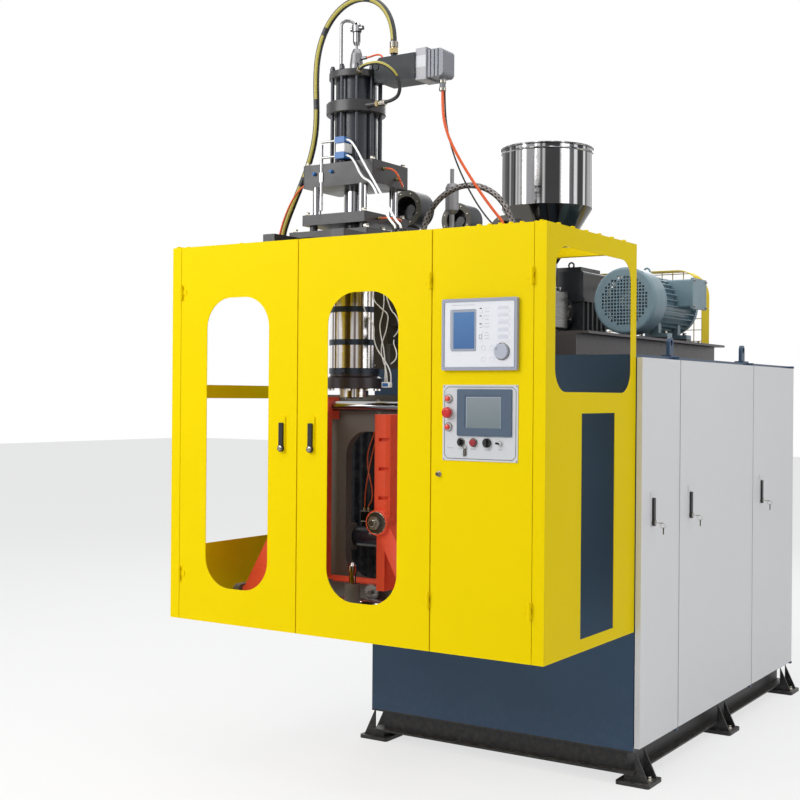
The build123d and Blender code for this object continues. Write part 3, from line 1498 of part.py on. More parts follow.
main_hose_points = local_points([
    (192.0, 0.0, 3056.0), (192.0, 0.0, 3118.0), (183.0, -1.0, 3180.0), (160.0, -4.0, 3236.0), (120.0, -8.0, 3281.0),
    (66.0, -12.0, 3308.0), (4.0, -16.0, 3312.0), (-56.0, -18.0, 3294.0), (-108.0, -20.0, 3257.0),
    (-150.0, -20.0, 3206.0), (-180.0, -20.0, 3144.0), (-197.0, -20.0, 3074.0), (-202.0, -20.0, 2996.0),
    (-200.0, -20.0, 2912.0), (-197.0, -20.0, 2828.0), (-203.0, -20.0, 2746.0), (-222.0, -20.0, 2666.0),
    (-252.0, -20.0, 2590.0), (-288.0, -20.0, 2518.0), (-324.0, -20.0, 2448.0), (-356.0, -20.0, 2384.0),
    (-382.0, -20.0, 2316.0), (-382.0, -20.0, 2254.0)])
loop_hose_points = local_points([
    (82.3, -98.1, 2976.5), (115.7, -137.9, 2976.5), (170.0, -175.0, 2976.5), (243.0, -175.0, 2976.5),
    (295.0, -143.7, 2935.2), (295.0, -99.3, 2876.4), (243.0, -68.0, 2835.0), (149.0, -68.0, 2835.0)])
braided_hose_points = local_points([
    (238.0, 170.0, 2274.0), (238.0, 170.0, 2318.0), (259.0, 170.5, 2384.0), (300.0, 171.0, 2439.0),
    (355.0, 171.5, 2479.0), (421.0, 172.0, 2501.0), (489.0, 172.0, 2500.0), (555.0, 171.5, 2478.0),
    (610.0, 171.0, 2438.0), (651.0, 170.5, 2384.0), (672.0, 170.0, 2318.0), (672.0, 170.0, 2254.0)])
air_tube_points = local_points([
    (434.0, 0.0, 2868.0), (434.0, 0.0, 2804.0), (440.0, 4.0, 2740.0), (456.0, 14.0, 2678.0), (480.0, 28.0, 2620.0),
    (508.0, 42.0, 2564.0), (539.0, 55.0, 2510.0), (571.0, 67.0, 2458.0), (604.0, 79.0, 2408.0),
    (638.0, 92.0, 2360.0), (672.0, 110.0, 2314.0), (672.0, 110.0, 2254.0)])


def build():
    save("base_frame", make_base_frame())
    save("body_shell", make_body_shell())
    save("hydraulic_unit", make_hydraulic_unit())
    save("electrical_panel", make_electrical_panel())
    for index, name in enumerate(("front", "middle", "rear")):
        save(f"cabinet_door_{name}", make_side_door(index))
        save(f"cabinet_lever_{name}", make_lever_x(*side_lock_place(index)))
    save("guard_frame", make_guard_frame())
    left_x = (split_left_post + leaf_gap / 2, split_centre - leaf_gap / 2)
    centre_x = (split_centre + leaf_gap / 2, split_control - leaf_gap / 2)
    control_x = (split_control + leaf_gap / 2, split_right - leaf_gap / 2)
    lock_left = (split_centre - handle_inset, handle_z)
    lock_centre = (split_centre + handle_inset, handle_z)
    left = make_guard_door(left_x, split_left_post, 1, True)
    save("door_left", left + make_lock_plate_y(*lock_left) - make_spindle_hole(*lock_left))
    save("lever_left", make_lever_y(*lock_left))
    centre = make_guard_door(centre_x, split_control, -1, True)
    save("door_centre", centre + make_lock_plate_y(*lock_centre) - make_spindle_hole(*lock_centre))
    save("lever_centre", make_lever_y(*lock_centre))
    control = make_guard_door(control_x, split_right, -1, False)
    for name in controls:
        at_x, at_z = control_place(name)
        control -= drum(at_x, guard_front - 1, at_z, stem_radius + 2, door_sheet + 2, "y")
    knob_x, knob_z = knob_place()
    save("control_door", control)
    save("upper_console", make_upper_console())
    save("console_knob", make_knob())
    save("operator_panel", make_operator_panel())
    save("touch_screen", make_touch_screen())
    save("emergency_stop", make_stop_button())
    save("start_button", make_push_button())
    save("selector_left", make_selector("selector_left", 12.0))
    save("selector_right", make_selector("selector_right", 17.0))
    save("head_plate", make_head_plate())
    save("stack_flanges", make_stack_flanges())
    save("cylinder_tubes", make_cylinder_tubes())
    save("cylinder_pillars", make_pillars())
    save("tie_rods", make_tie_rods())
    save("rod_housing", make_rod_housing())
    save("air_swivel", make_air_swivel())
    save("servo_manifold", make_manifold())
    save("servo_valve", make_servo_valve())
    save("position_sensors", make_sensors())
    save("die_head", make_die_head())
    save("mandrel", make_mandrel())
    save("extruder_bed", make_extruder_bed())
    save("gearbox", make_gearbox())
    save("barrel", make_barrel())
    save("screw", make_screw())
    save("heater_bands", make_heater_bands())
    save("cooling_blowers", make_blowers())
    save("hopper", make_hopper())
    save("drive_motor", make_motor())
    save("motor_pulley", make_motor_rotor())
    save("gearbox_pulley", make_gearbox_pulley())
    save("drive_belts", make_belts())
    save("belt_guard", make_belt_guard())
    save("clamp_frame", make_clamp_frame())
    save("guide_bars", make_guide_bars())
    save("clamp_ram", make_ram())
    save("platen_left", make_platen(-1))
    save("platen_right", make_platen(1))
    save("sync_pinion", make_pinion())
    save("blow_pin", make_blow_pin())
    save("exhaust_silencer", make_silencer())
    save("main_hose", make_hose("main_hose", main_hose_points, 13.5))
    save("loop_hose", make_hose("loop_hose", loop_hose_points, 7.5))
    save("braided_hose", make_hose("braided_hose", braided_hose_points, 12.5))
    save("air_tube", make_hose("air_tube", air_tube_points, 6.0))


build()
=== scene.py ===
from math import cos, pi, radians, sin

import bmesh
import bpy
import numpy as np
from mathutils import Matrix, Vector


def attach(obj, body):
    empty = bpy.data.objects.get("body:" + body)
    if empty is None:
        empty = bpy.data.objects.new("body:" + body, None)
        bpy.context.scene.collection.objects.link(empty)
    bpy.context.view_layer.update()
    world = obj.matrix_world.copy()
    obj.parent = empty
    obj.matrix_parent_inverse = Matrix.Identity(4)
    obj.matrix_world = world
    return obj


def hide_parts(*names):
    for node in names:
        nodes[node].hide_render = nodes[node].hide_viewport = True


# Frame: metres, +X to the right seen from the guard doors, +Y to the belt drive, +Z up.
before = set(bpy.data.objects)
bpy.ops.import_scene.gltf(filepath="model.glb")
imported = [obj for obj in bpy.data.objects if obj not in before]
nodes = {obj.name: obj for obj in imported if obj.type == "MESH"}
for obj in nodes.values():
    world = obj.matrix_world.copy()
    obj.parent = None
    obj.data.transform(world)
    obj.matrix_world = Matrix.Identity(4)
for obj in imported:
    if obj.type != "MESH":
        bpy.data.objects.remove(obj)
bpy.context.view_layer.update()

UP, DOWN, FRONT, RIGHT, LEFT = (0, 0, 1), (0, 0, -1), (0, -1, 0), (1, 0, 0), (-1, 0, 0)
HEAD = np.array([-0.466, -1.52])
GUARD_FRONT, GUARD_BACK = -1.92, -1.09
GUARD_RIGHT, GUARD_TOP = 0.65, 2.24
CABINET_DOOR_OUT = 0.678
GUARD_LOCK_Z, CABINET_LOCK_Z = 1.39, 1.085
CONSOLE_LEFT, CONSOLE_RIGHT = 0.223, 0.541
CONSOLE_TOP, CONSOLE_DEEP = 1.97, 0.016
OPERATOR_TOP, OPERATOR_DEEP = 1.65, 0.003
BARREL_Z, BLOWER_Z = 2.07, 2.466
BLOWER_Y = (-1.055, -0.6, -0.115)
HOPPER_Y = 0.322


def at_head(x, y, z):
    """Point from the head's axis and the floor, in millimetres."""
    return (HEAD[0] + x / 1000, HEAD[1] + y / 1000, z / 1000)


def route(points):
    return [at_head(*point) for point in points]


# Shader nodes
class Shade:
    """Adds nodes to a shader tree. Each input is a value, or the output of an earlier node."""

    def __init__(self, tree):
        self.tree = tree

    def fill(self, sockets, values):
        for label, value in dict(values).items():
            if isinstance(value, bpy.types.NodeSocket):
                self.tree.links.new(value, sockets[label])
            else:
                sockets[label].default_value = value

    def put(self, kind, inputs=(), out=0, **settings):
        node = self.tree.nodes.new("ShaderNode" + kind)
        for label, value in settings.items():
            setattr(node, label, value)
        self.fill(node.inputs, inputs)
        return node.outputs[out]

    def math(self, operation, *values, **settings):
        return self.put("Math", enumerate(values), operation=operation, **settings)

    def times(self, a, b):
        return self.math("MULTIPLY", a, b)

    def scaled(self, vector, by):
        return self.put("VectorMath", {0: vector, 1: by}, operation="MULTIPLY")

    def part_of(self, vector, axis):
        return self.put("SeparateXYZ", {0: vector}, axis)

    def place(self, coords="Object"):
        return self.put("TexCoord", out=coords)

    def normal(self):
        return self.put("NewGeometry", out="Normal")

    def noise(self, vector, scale, detail=3.0, rough=0.55):
        return self.put("TexNoise", {"Vector": vector, "Scale": scale, "Detail": detail, "Roughness": rough}, "Fac")

    def spread(self, value, low, high, to_low=0.0, to_high=1.0, **settings):
        """The value, carried from the range low to high into the range to_low to to_high."""
        return self.put("MapRange", {"Value": value, "From Min": low, "From Max": high, "To Min": to_low,
                                     "To Max": to_high}, "Result", **settings)

    def blend(self, share, under, over, mode="MIX"):
        return self.put("Mix", {0: share, 6: under, 7: over}, 2, data_type="RGBA", blend_type=mode)

    def relief(self, height, strength, depth):
        return self.put("Bump", {"Strength": strength, "Distance": depth, "Height": height}, "Normal")


# Camera, studio and floor
def make_camera():
    """Camera at eye height off the machine's front right corner."""
    data = bpy.data.cameras.new("studio_camera")
    camera = bpy.data.objects.new("studio_camera", data)
    bpy.context.collection.objects.link(camera)
    heading, roll = radians(32.89), radians(0.45)
    forward = Vector((-sin(heading), cos(heading), 0.0))
    camera.matrix_world = Matrix.Translation((2.724, -6.088, 1.607)) @ (
        forward.to_track_quat("-Z", "Y").to_matrix().to_4x4() @ Matrix.Rotation(roll, 4, "Z"))
    picture_px, focal_px, rise_px = 800.0, 1290.2, -4.1
    data.sensor_width = 36.0
    data.lens = data.sensor_width * focal_px / picture_px
    data.shift_y = rise_px / picture_px
    data.clip_end = 60.0
    bpy.context.scene.camera = camera


def seen_rays(s):
    """1 for rays that show the background: from the camera, or off metal, or through glass."""
    path = s.put("LightPath").node.outputs
    total = path["Is Camera Ray"]
    for label in ("Is Glossy Ray", "Is Transmission Ray"):
        total = s.math("ADD", total, path[label], use_clamp=True)
    return total


def make_studio():
    """Pale floor that keeps the machine's shadow, and an even world seen as plain white."""
    white = (1.0, 1.0, 1.0, 1.0)
    bpy.context.scene.view_settings.view_transform = "Standard"
    bpy.ops.mesh.primitive_plane_add(size=60.0, location=(0, 0, 0))
    floor = bpy.context.object
    floor.name = "studio_floor"
    surface = bpy.data.materials.new("studio_floor")
    surface.use_nodes = True
    s = Shade(surface.node_tree)
    shader = s.tree.nodes["Principled BSDF"]
    s.fill(shader.inputs, {"Base Color": (0.82, 0.82, 0.82, 1.0), "Roughness": 0.9, "Specular IOR Level": 0.0})
    glow = s.put("Emission", {"Color": white})
    mix = s.put("MixShader", {0: s.times(seen_rays(s), 0.7), 1: shader.outputs[0], 2: glow})
    s.fill(s.tree.nodes["Material Output"].inputs, {"Surface": mix})
    floor.data.materials.append(surface)

    world = bpy.data.worlds.new("studio_world")
    bpy.context.scene.world = world
    world.use_nodes = True
    world.node_tree.nodes.clear()
    s = Shade(world.node_tree)
    even = s.put("Background", {"Color": (0.95, 0.97, 1.0, 1.0), "Strength": 0.4})
    seen = s.put("Background", {"Color": white, "Strength": 1.0})
    out = s.tree.nodes.new("ShaderNodeOutputWorld")
    s.fill(out.inputs, {"Surface": s.put("MixShader", {0: seen_rays(s), 1: even, 2: seen})})


def make_lamps():
    for name, place, aim, size, power in (
            ("front_panel", (-2.6, -6.4, 4.2), (-0.3, -1.0, 1.4), (4.5, 3.0), 225.0),
            ("top_panel", (0.4, -1.6, 6.5), (0.0, -0.6, 1.0), (6.0, 5.0), 190.0),
            ("side_panel", (6.2, -1.2, 3.2), (0.0, -0.4, 1.4), (3.5, 3.0), 55.0),
            ("back_panel", (-2.5, 5.2, 4.4), (0.0, 0.0, 1.6), (4.0, 3.0), 110.0)):
        data = bpy.data.lights.new(name, "AREA")
        data.shape = "RECTANGLE"
        data.size, data.size_y = size
        data.energy = power
        lamp = bpy.data.objects.new(name, data)
        bpy.context.collection.objects.link(lamp)
        lamp.matrix_world = Matrix.Translation(place) @ (
            (Vector(aim) - Vector(place)).to_track_quat("-Z", "Y").to_matrix().to_4x4())


# Node groups shared by the finishes
COLOR, FLOAT, VECTOR = "NodeSocketColor", "NodeSocketFloat", "NodeSocketVector"


def new_group(name, **given):
    """Group over Vector and the given inputs, for Colour, Roughness and Height: its Shade, inputs and end."""
    group = bpy.data.node_groups.new(name, "ShaderNodeTree")
    add = group.interface.new_socket
    add(name="Vector", in_out="INPUT", socket_type=VECTOR)
    for label, value in given.items():
        kind = FLOAT if isinstance(value, float) else VECTOR if len(value) == 3 else COLOR
        add(name=label, in_out="INPUT", socket_type=kind).default_value = value
    for label, kind in (("Colour", COLOR), ("Roughness", FLOAT), ("Height", FLOAT)):
        add(name=label, in_out="OUTPUT", socket_type=kind)
    start, end = group.nodes.new("NodeGroupInput"), group.nodes.new("NodeGroupOutput")
    return Shade(group), start.outputs, end.inputs


def close_group(s, end, colour, rough, height):
    s.fill(end, {"Colour": colour, "Roughness": rough, "Height": height})
    return s.tree


def group_powder_coat():
    """Sprayed or powder coated sheet: slow tone drift, fine orange peel and dust that lies low and on ledges."""
    s, given, end = new_group("powder_coat", Colour=(0.8, 0.8, 0.8, 1), Roughness=0.4, Drift=0.06, Dust=0.15)
    place = given["Vector"]
    drift = s.times(s.spread(s.noise(place, 1.7, 4.0), 0.3, 0.7), given["Drift"])
    tone = s.blend(drift, given["Colour"], (0.55, 0.53, 0.5, 1), "MULTIPLY")
    speck = s.noise(place, 38.0, 5.0, 0.7)
    specks = s.spread(speck, 0.42, 0.72, 0.15, 1.0)
    ledge = s.times(s.spread(s.part_of(s.normal(), "Z"), 0.6, 1.0), specks)
    low = s.times(s.spread(s.part_of(place, "Z"), 0.0, 0.5, 0.35, 0.0), specks)
    dust = s.times(s.math("MAXIMUM", ledge, low), given["Dust"])
    matt = s.math("MULTIPLY_ADD", dust, 0.4, given["Roughness"])
    rough = s.math("ADD", matt, s.spread(speck, 0.3, 0.7, -0.05, 0.07))
    return close_group(s, end, s.blend(dust, tone, (0.42, 0.39, 0.34, 1)), rough, s.noise(place, 420.0, 2.0))


def close_metal(s, given, end, colour, stain, tint, fine):
    """Ends a metal's group: cloudy stains over the colour, and roughness from drawn lines and from the stains."""
    place = given["Vector"]
    share = s.times(s.spread(s.noise(place, stain, 5.0, 0.6), 0.45, 0.8), given["Tarnish"])
    lines = s.noise(s.scaled(place, given["Lines"]), 1.0, 3.0, 0.6)
    rough = s.math("ADD", given["Roughness"], s.spread(lines, 0.3, 0.7, *fine))
    rough = s.math("MULTIPLY_ADD", share, 0.25, rough)
    return close_group(s, end, s.blend(share, colour, tint, "MULTIPLY"), rough, lines)


def group_drawn_metal():
    """Ground or rolled metal: fine lines stretched by the Lines vector, cloudy stains and a little tarnish."""
    s, given, end = new_group("drawn_metal", Lines=(4.0, 4.0, 400.0), Colour=(0.6, 0.6, 0.6, 1), Roughness=0.25,
                              Tarnish=0.3)
    return close_metal(s, given, end, given["Colour"], 9.0, (0.5, 0.43, 0.36, 1), (-0.06, 0.08))


def group_painted_reflection_bands():
    """Polished metal with a painted reflection of a room: dark and bright bands painted into its colour, keyed to the
    way the surface faces.
    """
    s, given, end = new_group(
        "painted_reflection_bands", Bands=(1.6, 1.6, 0.25), Lines=(3.0, 3.0, 90.0), Colour=(0.8, 0.8, 0.8, 1),
        Dark=(0.05, 0.05, 0.055, 1), Share=0.5, Soft=0.13, Roughness=0.1, Tarnish=0.2)
    bands = s.noise(s.scaled(s.normal(), given["Bands"]), 2.1, 2.0, 0.6)
    low = s.math("MULTIPLY_ADD", given["Share"], 0.3, 0.28)
    high = s.math("ADD", low, given["Soft"])
    tone = s.blend(s.spread(bands, low, high, interpolation_type="SMOOTHSTEP"), given["Dark"], given["Colour"])
    return close_metal(s, given, end, tone, 7.0, (0.5, 0.45, 0.38, 1), (-0.04, 0.06))


def group_cast_skin():
    """Enamel over a sand casting: coarse pits and lumps under the colour, with grease in the low places."""
    s, given, end = new_group("cast_skin", Colour=(0.6, 0.1, 0.05, 1), Roughness=0.35, Grease=0.3)
    patch = s.noise(given["Vector"], 5.0, 5.0, 0.65)
    share = s.times(s.spread(patch, 0.52, 0.78), given["Grease"])
    tint = s.blend(share, given["Colour"], (0.3, 0.26, 0.22, 1), "MULTIPLY")
    rough = s.math("ADD", given["Roughness"], s.spread(patch, 0.3, 0.7, -0.08, 0.1))
    return close_group(s, end, tint, rough, s.noise(given["Vector"], 60.0, 4.0, 0.6))


def group_moulded_grain():
    """Moulded plastic or rubber: a fine pebbled skin and faint handling marks."""
    s, given, end = new_group("moulded_grain", Colour=(0.03, 0.03, 0.03, 1), Roughness=0.5, Scale=900.0, Marks=0.2)
    pebble = s.put("TexVoronoi", {"Vector": given["Vector"], "Scale": given["Scale"]}, "Distance")
    share = s.times(s.spread(s.noise(given["Vector"], 24.0, 5.0, 0.7), 0.45, 0.75), given["Marks"])
    tint = s.blend(share, given["Colour"], (0.3, 0.29, 0.27, 1))
    return close_group(s, end, tint, s.math("MULTIPLY_ADD", share, 0.5, given["Roughness"]), pebble)


POWDER = group_powder_coat()
PAINTED_REFLECTION = group_painted_reflection_bands()
DRAWN = group_drawn_metal()
CAST = group_cast_skin()
GRAIN = group_moulded_grain()

finish = {}


# Finishes: each function adds a material under its name
def new_finish(name):
    material = bpy.data.materials.new(name)
    material.use_nodes = True
    finish[name] = material
    return shade_of(name)


def shade_of(name):
    """The Shade and the shader's inputs of a finish."""
    tree = finish[name].node_tree
    return Shade(tree), tree.nodes["Principled BSDF"].inputs


def finish_from(group, name, colour, rough, bump, depth, values, gloss=0.5, metal=0.0, clear=0.0):
    """A material whose shader takes colour, roughness and relief from one of the shared groups."""
    s, shader = new_finish(name)
    inputs = {"Vector": s.place(), "Colour": (*colour, 1), "Roughness": rough, **values}
    skin = s.put("Group", inputs, node_tree=group).node.outputs
    s.fill(shader, {
        "Base Color": skin["Colour"], "Roughness": skin["Roughness"], "Normal": s.relief(skin["Height"], bump, depth),
        "Specular IOR Level": gloss, "Metallic": metal, "Coat Weight": clear})


def coat(name, colour, rough=0.38, drift=0.08, dust=0.2, bump=0.06, **shine):
    finish_from(POWDER, name, colour, rough, bump, 0.001, {"Drift": drift, "Dust": dust}, **shine)


def drawn(name, colour, rough=0.22, lines=(4.0, 4.0, 400.0), tarnish=0.25, bump=0.05):
    finish_from(DRAWN, name, colour, rough, bump, 0.0005, {"Lines": lines, "Tarnish": tarnish}, metal=1.0)


# Metal finish with a painted reflection: its colour is banded between the dark and the given colour by the way the
# surface faces.
def with_painted_reflection(name, colour, dark, share=0.5, bands=(1.6, 1.6, 0.25), rough=0.1, lines=(3.0, 3.0, 90.0), tarnish=0.2,
             soft=0.13):
    values = {"Dark": (*dark, 1), "Share": share, "Bands": bands, "Lines": lines, "Tarnish": tarnish, "Soft": soft}
    finish_from(PAINTED_REFLECTION, name, colour, rough, 0.03, 0.0005, values, metal=1.0)


def cast(name, colour, rough=0.35, grease=0.3, bump=0.25, **shine):
    finish_from(CAST, name, colour, rough, bump, 0.002, {"Grease": grease}, **shine)


def moulded(name, colour, rough=0.5, scale=900.0, marks=0.1, bump=0.1, **shine):
    finish_from(GRAIN, name, colour, rough, bump, 0.0004, {"Scale": scale, "Marks": marks}, **shine)


def paint_over(name, mask, colour, rough=0.4, metal=0.0):
    """Another plain colour, roughness and metalness over a finish where the mask is 1."""
    s, shader = shade_of(name)
    base = shader["Base Color"].links[0].from_socket
    s.fill(shader, {"Base Color": s.blend(mask, base, (*colour, 1))})
    for label, value in (("Roughness", rough), ("Metallic", metal)):
        socket = shader[label]
        under = socket.links[0].from_socket if socket.links else socket.default_value
        s.fill(shader, {label: s.spread(mask, 0.0, 1.0, under, value)})


def paint_band(name, axis, low, high, colour, rough=0.4, metal=0.0):
    """Paints over a finish where the object's own coordinate on the axis lies between low and high."""
    s, _ = shade_of(name)
    at = s.part_of(s.place(), axis)
    mask = s.times(s.math("GREATER_THAN", at, low), s.math("LESS_THAN", at, high))
    paint_over(name, mask, colour, rough, metal)


def printed_hose(name, around, width, pieces, gap, until):
    """Black hose with a yellow line along one side, broken where the print stops; on the cord's own UV."""
    moulded(name, (0.016, 0.017, 0.02), 0.42, 600.0, 0.12, 0.12)
    s, _ = shade_of(name)
    along, across = (s.part_of(s.place("UV"), axis) for axis in "XY")
    inside = s.math("LESS_THAN", s.math("ABSOLUTE", s.math("SUBTRACT", across, around)), width)
    keep = s.math("GREATER_THAN", s.math("FRACT", s.times(along, pieces)), gap)
    before = s.times(keep, s.math("LESS_THAN", along, until))
    paint_over(name, s.times(inside, before), (0.42, 0.36, 0.06), 0.45)


def braided_hose(name, turns, across):
    """Wire braid: two sets of strands, each a wave over u and v of the cord's UV, that cross and leave dark eyes."""
    s, shader = new_finish(name)
    u, v = (s.part_of(s.place("UV"), axis) for axis in "XY")
    waves = [s.math("SINE", s.math("ADD", s.times(u, turns * 2 * pi), s.times(v, sign * across * 2 * pi)))
             for sign in (1.0, -1.0)]
    level = s.spread(s.math("MAXIMUM", *waves), -0.6, 0.9)
    share = s.times(level, s.spread(s.noise(s.place(), 25.0, 4.0, 0.6), 0.3, 0.75, 0.25, 1.0))
    s.fill(shader, {"Base Color": s.blend(share, (0.008, 0.007, 0.008, 1), (0.32, 0.29, 0.28, 1)), "Metallic": 0.6,
                    "Roughness": s.spread(share, 0.0, 1.0, 0.6, 0.35), "Normal": s.relief(level, 0.5, 0.0015)})


def screen_face(name, top, bottom, low, high, rough=0.12):
    """Lit display: a slow fade from the lower colour to the upper one between two heights."""
    s, shader = new_finish(name)
    fade = s.spread(s.part_of(s.place(), "Z"), low, high)
    s.fill(shader, {"Base Color": s.blend(fade, (*bottom, 1), (*top, 1)), "Coat Weight": 0.4,
                    "Roughness": s.spread(s.noise(s.place(), 30.0, 4.0), 0.35, 0.75, rough, rough + 0.12)})
    return name


coat("guard_yellow", (0.86, 0.645, 0), 0.42, 0.05, 0.1, 0.05, gloss=0.05)
coat("door_white", (0.76, 0.76, 0.77), 0.42, 0.03, 0.12, 0.05, gloss=0.3)
coat("base_blue", (0.03, 0.07, 0.135), 0.36, 0.25, 0.2, 0.08, gloss=0.3)
coat("skirt_black", (0.012, 0.012, 0.014), 0.45, 0.2, 0.35, 0.1, gloss=0.35)
coat("bed_brown", (0.06, 0.05, 0.052), 0.4, 0.4, 0.3, 0.12)
coat("clamp_grey", (0.14, 0.136, 0.12), 0.4, 0.5, 0.2, 0.12)
coat("cylinder_black", (0.018, 0.021, 0.032), 0.3, 0.2, 0.15, 0.08)
coat("terminal_grey", (0.045, 0.043, 0.04), 0.5, 0.5, 0.3, 0.1, gloss=0.3)
cast("gear_grey", (0.024, 0.026, 0.03), 0.36, 0.3, 0.2, gloss=0.4)
cast("plate_grey", (0.024, 0.023, 0.025), 0.34, 0.3, 0.15)
cast("motor_teal", (0.19, 0.285, 0.33), 0.36, 0.25, 0.12)
cast("manifold_black", (0.016, 0.02, 0.024), 0.45, 0.3, 0.2, gloss=0.25)
cast("rim_olive", (0.085, 0.08, 0.065), 0.45, 0.3, 0.25, gloss=0.3)
cast("platen_enamel", (0.88, 0.093, 0.042), 0.32, 0.22, 0.22, clear=0.25)
cast("valve_mix", (0.2, 0.21, 0.24), 0.4, 0.2, 0.15)
# These metal finishes carry painted reflections in their colour; the brownish dark bands of head_sheet are a painted
# reflection of the guard's inside.
with_painted_reflection("polished_rod", (0.6, 0.6, 0.61), (0.09, 0.09, 0.1), 0.55, (1.9, 1.9, 0.2), 0.08, (3, 3, 300), 0.1)
with_painted_reflection("polished_sheet", (0.72, 0.72, 0.71), (0.045, 0.045, 0.048), 0.62, (2.6, 2.6, 0.25), 0.12)
with_painted_reflection("head_sheet", (0.85, 0.83, 0.84), (0.15, 0.115, 0.1), 0.47, (1.9, 1.9, 0.2), 0.2, soft=0.12)
with_painted_reflection("hopper_sheet", (0.7, 0.7, 0.7), (0.05, 0.05, 0.052), 0.6, (2.6, 2.6, 0.3), 0.1, soft=0.22)
with_painted_reflection("swivel_chrome", (0.6, 0.6, 0.61), (0.06, 0.06, 0.065), 0.62, (2.2, 2.2, 0.4), 0.12)
with_painted_reflection("zinc", (0.55, 0.52, 0.46), (0.08, 0.075, 0.06), 0.5, (3, 3, 3), 0.28, (90, 90, 90), 0.35)
with_painted_reflection("brass", (0.58, 0.47, 0.26), (0.1, 0.075, 0.03), 0.5, (3, 3, 3), 0.25, (90, 90, 90), 0.35)
drawn("turned_steel", (0.36, 0.36, 0.36), 0.28, (4, 4, 500), 0.4, 0.06)
drawn("screw_steel", (0.45, 0.45, 0.45), 0.25, (4, 500, 4), 0.3, 0.06)
drawn("housing_grey", (0.2, 0.2, 0.21), 0.35, (60, 60, 60), 0.25, 0.1)
drawn("sinter", (0.25, 0.25, 0.26), 0.55, (300, 300, 300), 0.3, 0.3)
moulded("curtain_navy", (0.012, 0.016, 0.027), 0.55, 800, 0.2, 0.15, gloss=0.3)
moulded("black_plastic", (0.012, 0.012, 0.013), 0.4, 700, 0.05, gloss=0.35)
moulded("grey_plastic", (0.3, 0.33, 0.39), 0.42, 700, 0.05, gloss=0.3)
moulded("console_film", (0.74, 0.75, 0.79), 0.4, 1500, 0.03, 0.03, gloss=0.25)
moulded("key_film", (0.62, 0.635, 0.69), 0.4, 1500, 0.03, 0.03, gloss=0.25)
moulded("operator_steel", (0.6, 0.61, 0.63), 0.4, 1200, 0.05, 0.03, gloss=0.3)
moulded("signal_red", (0.55, 0.012, 0.01), 0.25, 900, 0.02, 0.02)
moulded("button_red", (0.3, 0.012, 0.022), 0.25, 900, 0.02, 0.02)
moulded("lamp_orange", (0.72, 0.06, 0.03), 0.25, 900, 0.02, 0.02)
moulded("sensor_blue", (0.02, 0.13, 0.38), 0.35, 900, 0.05, gloss=0.3)
moulded("sensor_mix", (0.02, 0.13, 0.38), 0.35, 900, 0.05)
moulded("hose_rubber", (0.016, 0.016, 0.018), 0.5, 600, 0.15, 0.15, gloss=0.35)
moulded("belt_rubber", (0.02, 0.02, 0.02), 0.7, 500, 0.3, 0.2)
moulded("tube_orange", (0.8, 0.13, 0.035), 0.3, 900, 0.05, 0.02, gloss=0.3)
moulded("lead_white", (0.86, 0.86, 0.87), 0.45, 900, 0.05, 0.03, gloss=0.3)
moulded("slate_plastic", (0.075, 0.11, 0.16), 0.35, 900, 0.05, 0.03, gloss=0.3)
moulded("knob_grey", (0.42, 0.44, 0.51), 0.42, 900, 0.05, 0.03, gloss=0.3)
moulded("switchgear", (0.4, 0.41, 0.41), 0.5, 700, 0.15)
printed_hose("hose_print", 0.143, 0.09, 5, 0.13, 1.1)
printed_hose("loop_print", 0.36, 0.12, 1, 0, 0.62)
braided_hose("hose_braid", 28, 4)
paint_band("sensor_mix", "X", -3, HEAD[0] - 0.006, (0.42, 0.42, 0.43), 0.25, 1)
paint_band("platen_enamel", "Y", -3, HEAD[1] - 0.1785, (0.3, 0.28, 0.26), 0.3, 1)
paint_band("valve_mix", "X", -0.14, -0.085, (0.4, 0.4, 0.42), 0.45, 0)
paint_band("head_sheet", "Z", 1.636, 1.718, (0.05, 0.043, 0.05), 0.35, 0.6)
paint_band("polished_sheet", "Y", -1.9, -1.41, (0.028, 0.036, 0.052), 0.32, 0.7)
for rim_axis, rim_low, rim_high in (("X", 0.0, CONSOLE_LEFT + 0.0095), ("X", CONSOLE_RIGHT - 0.0095, 1.0),
                                    ("Z", CONSOLE_TOP - 0.0095, 3.0), ("Z", 1.0, CONSOLE_TOP - 0.2565)):
    paint_band("console_film", rim_axis, rim_low, rim_high, (0.33, 0.345, 0.43), 0.42)
# Painted reflection: the hopper's cone, between 2.352 and 2.641 m, gets a dark colour standing for the dark
# surroundings it would mirror.
paint_band("hopper_sheet", "Z", 2.352, 2.641, (0.1, 0.095, 0.085), 0.12, 1)

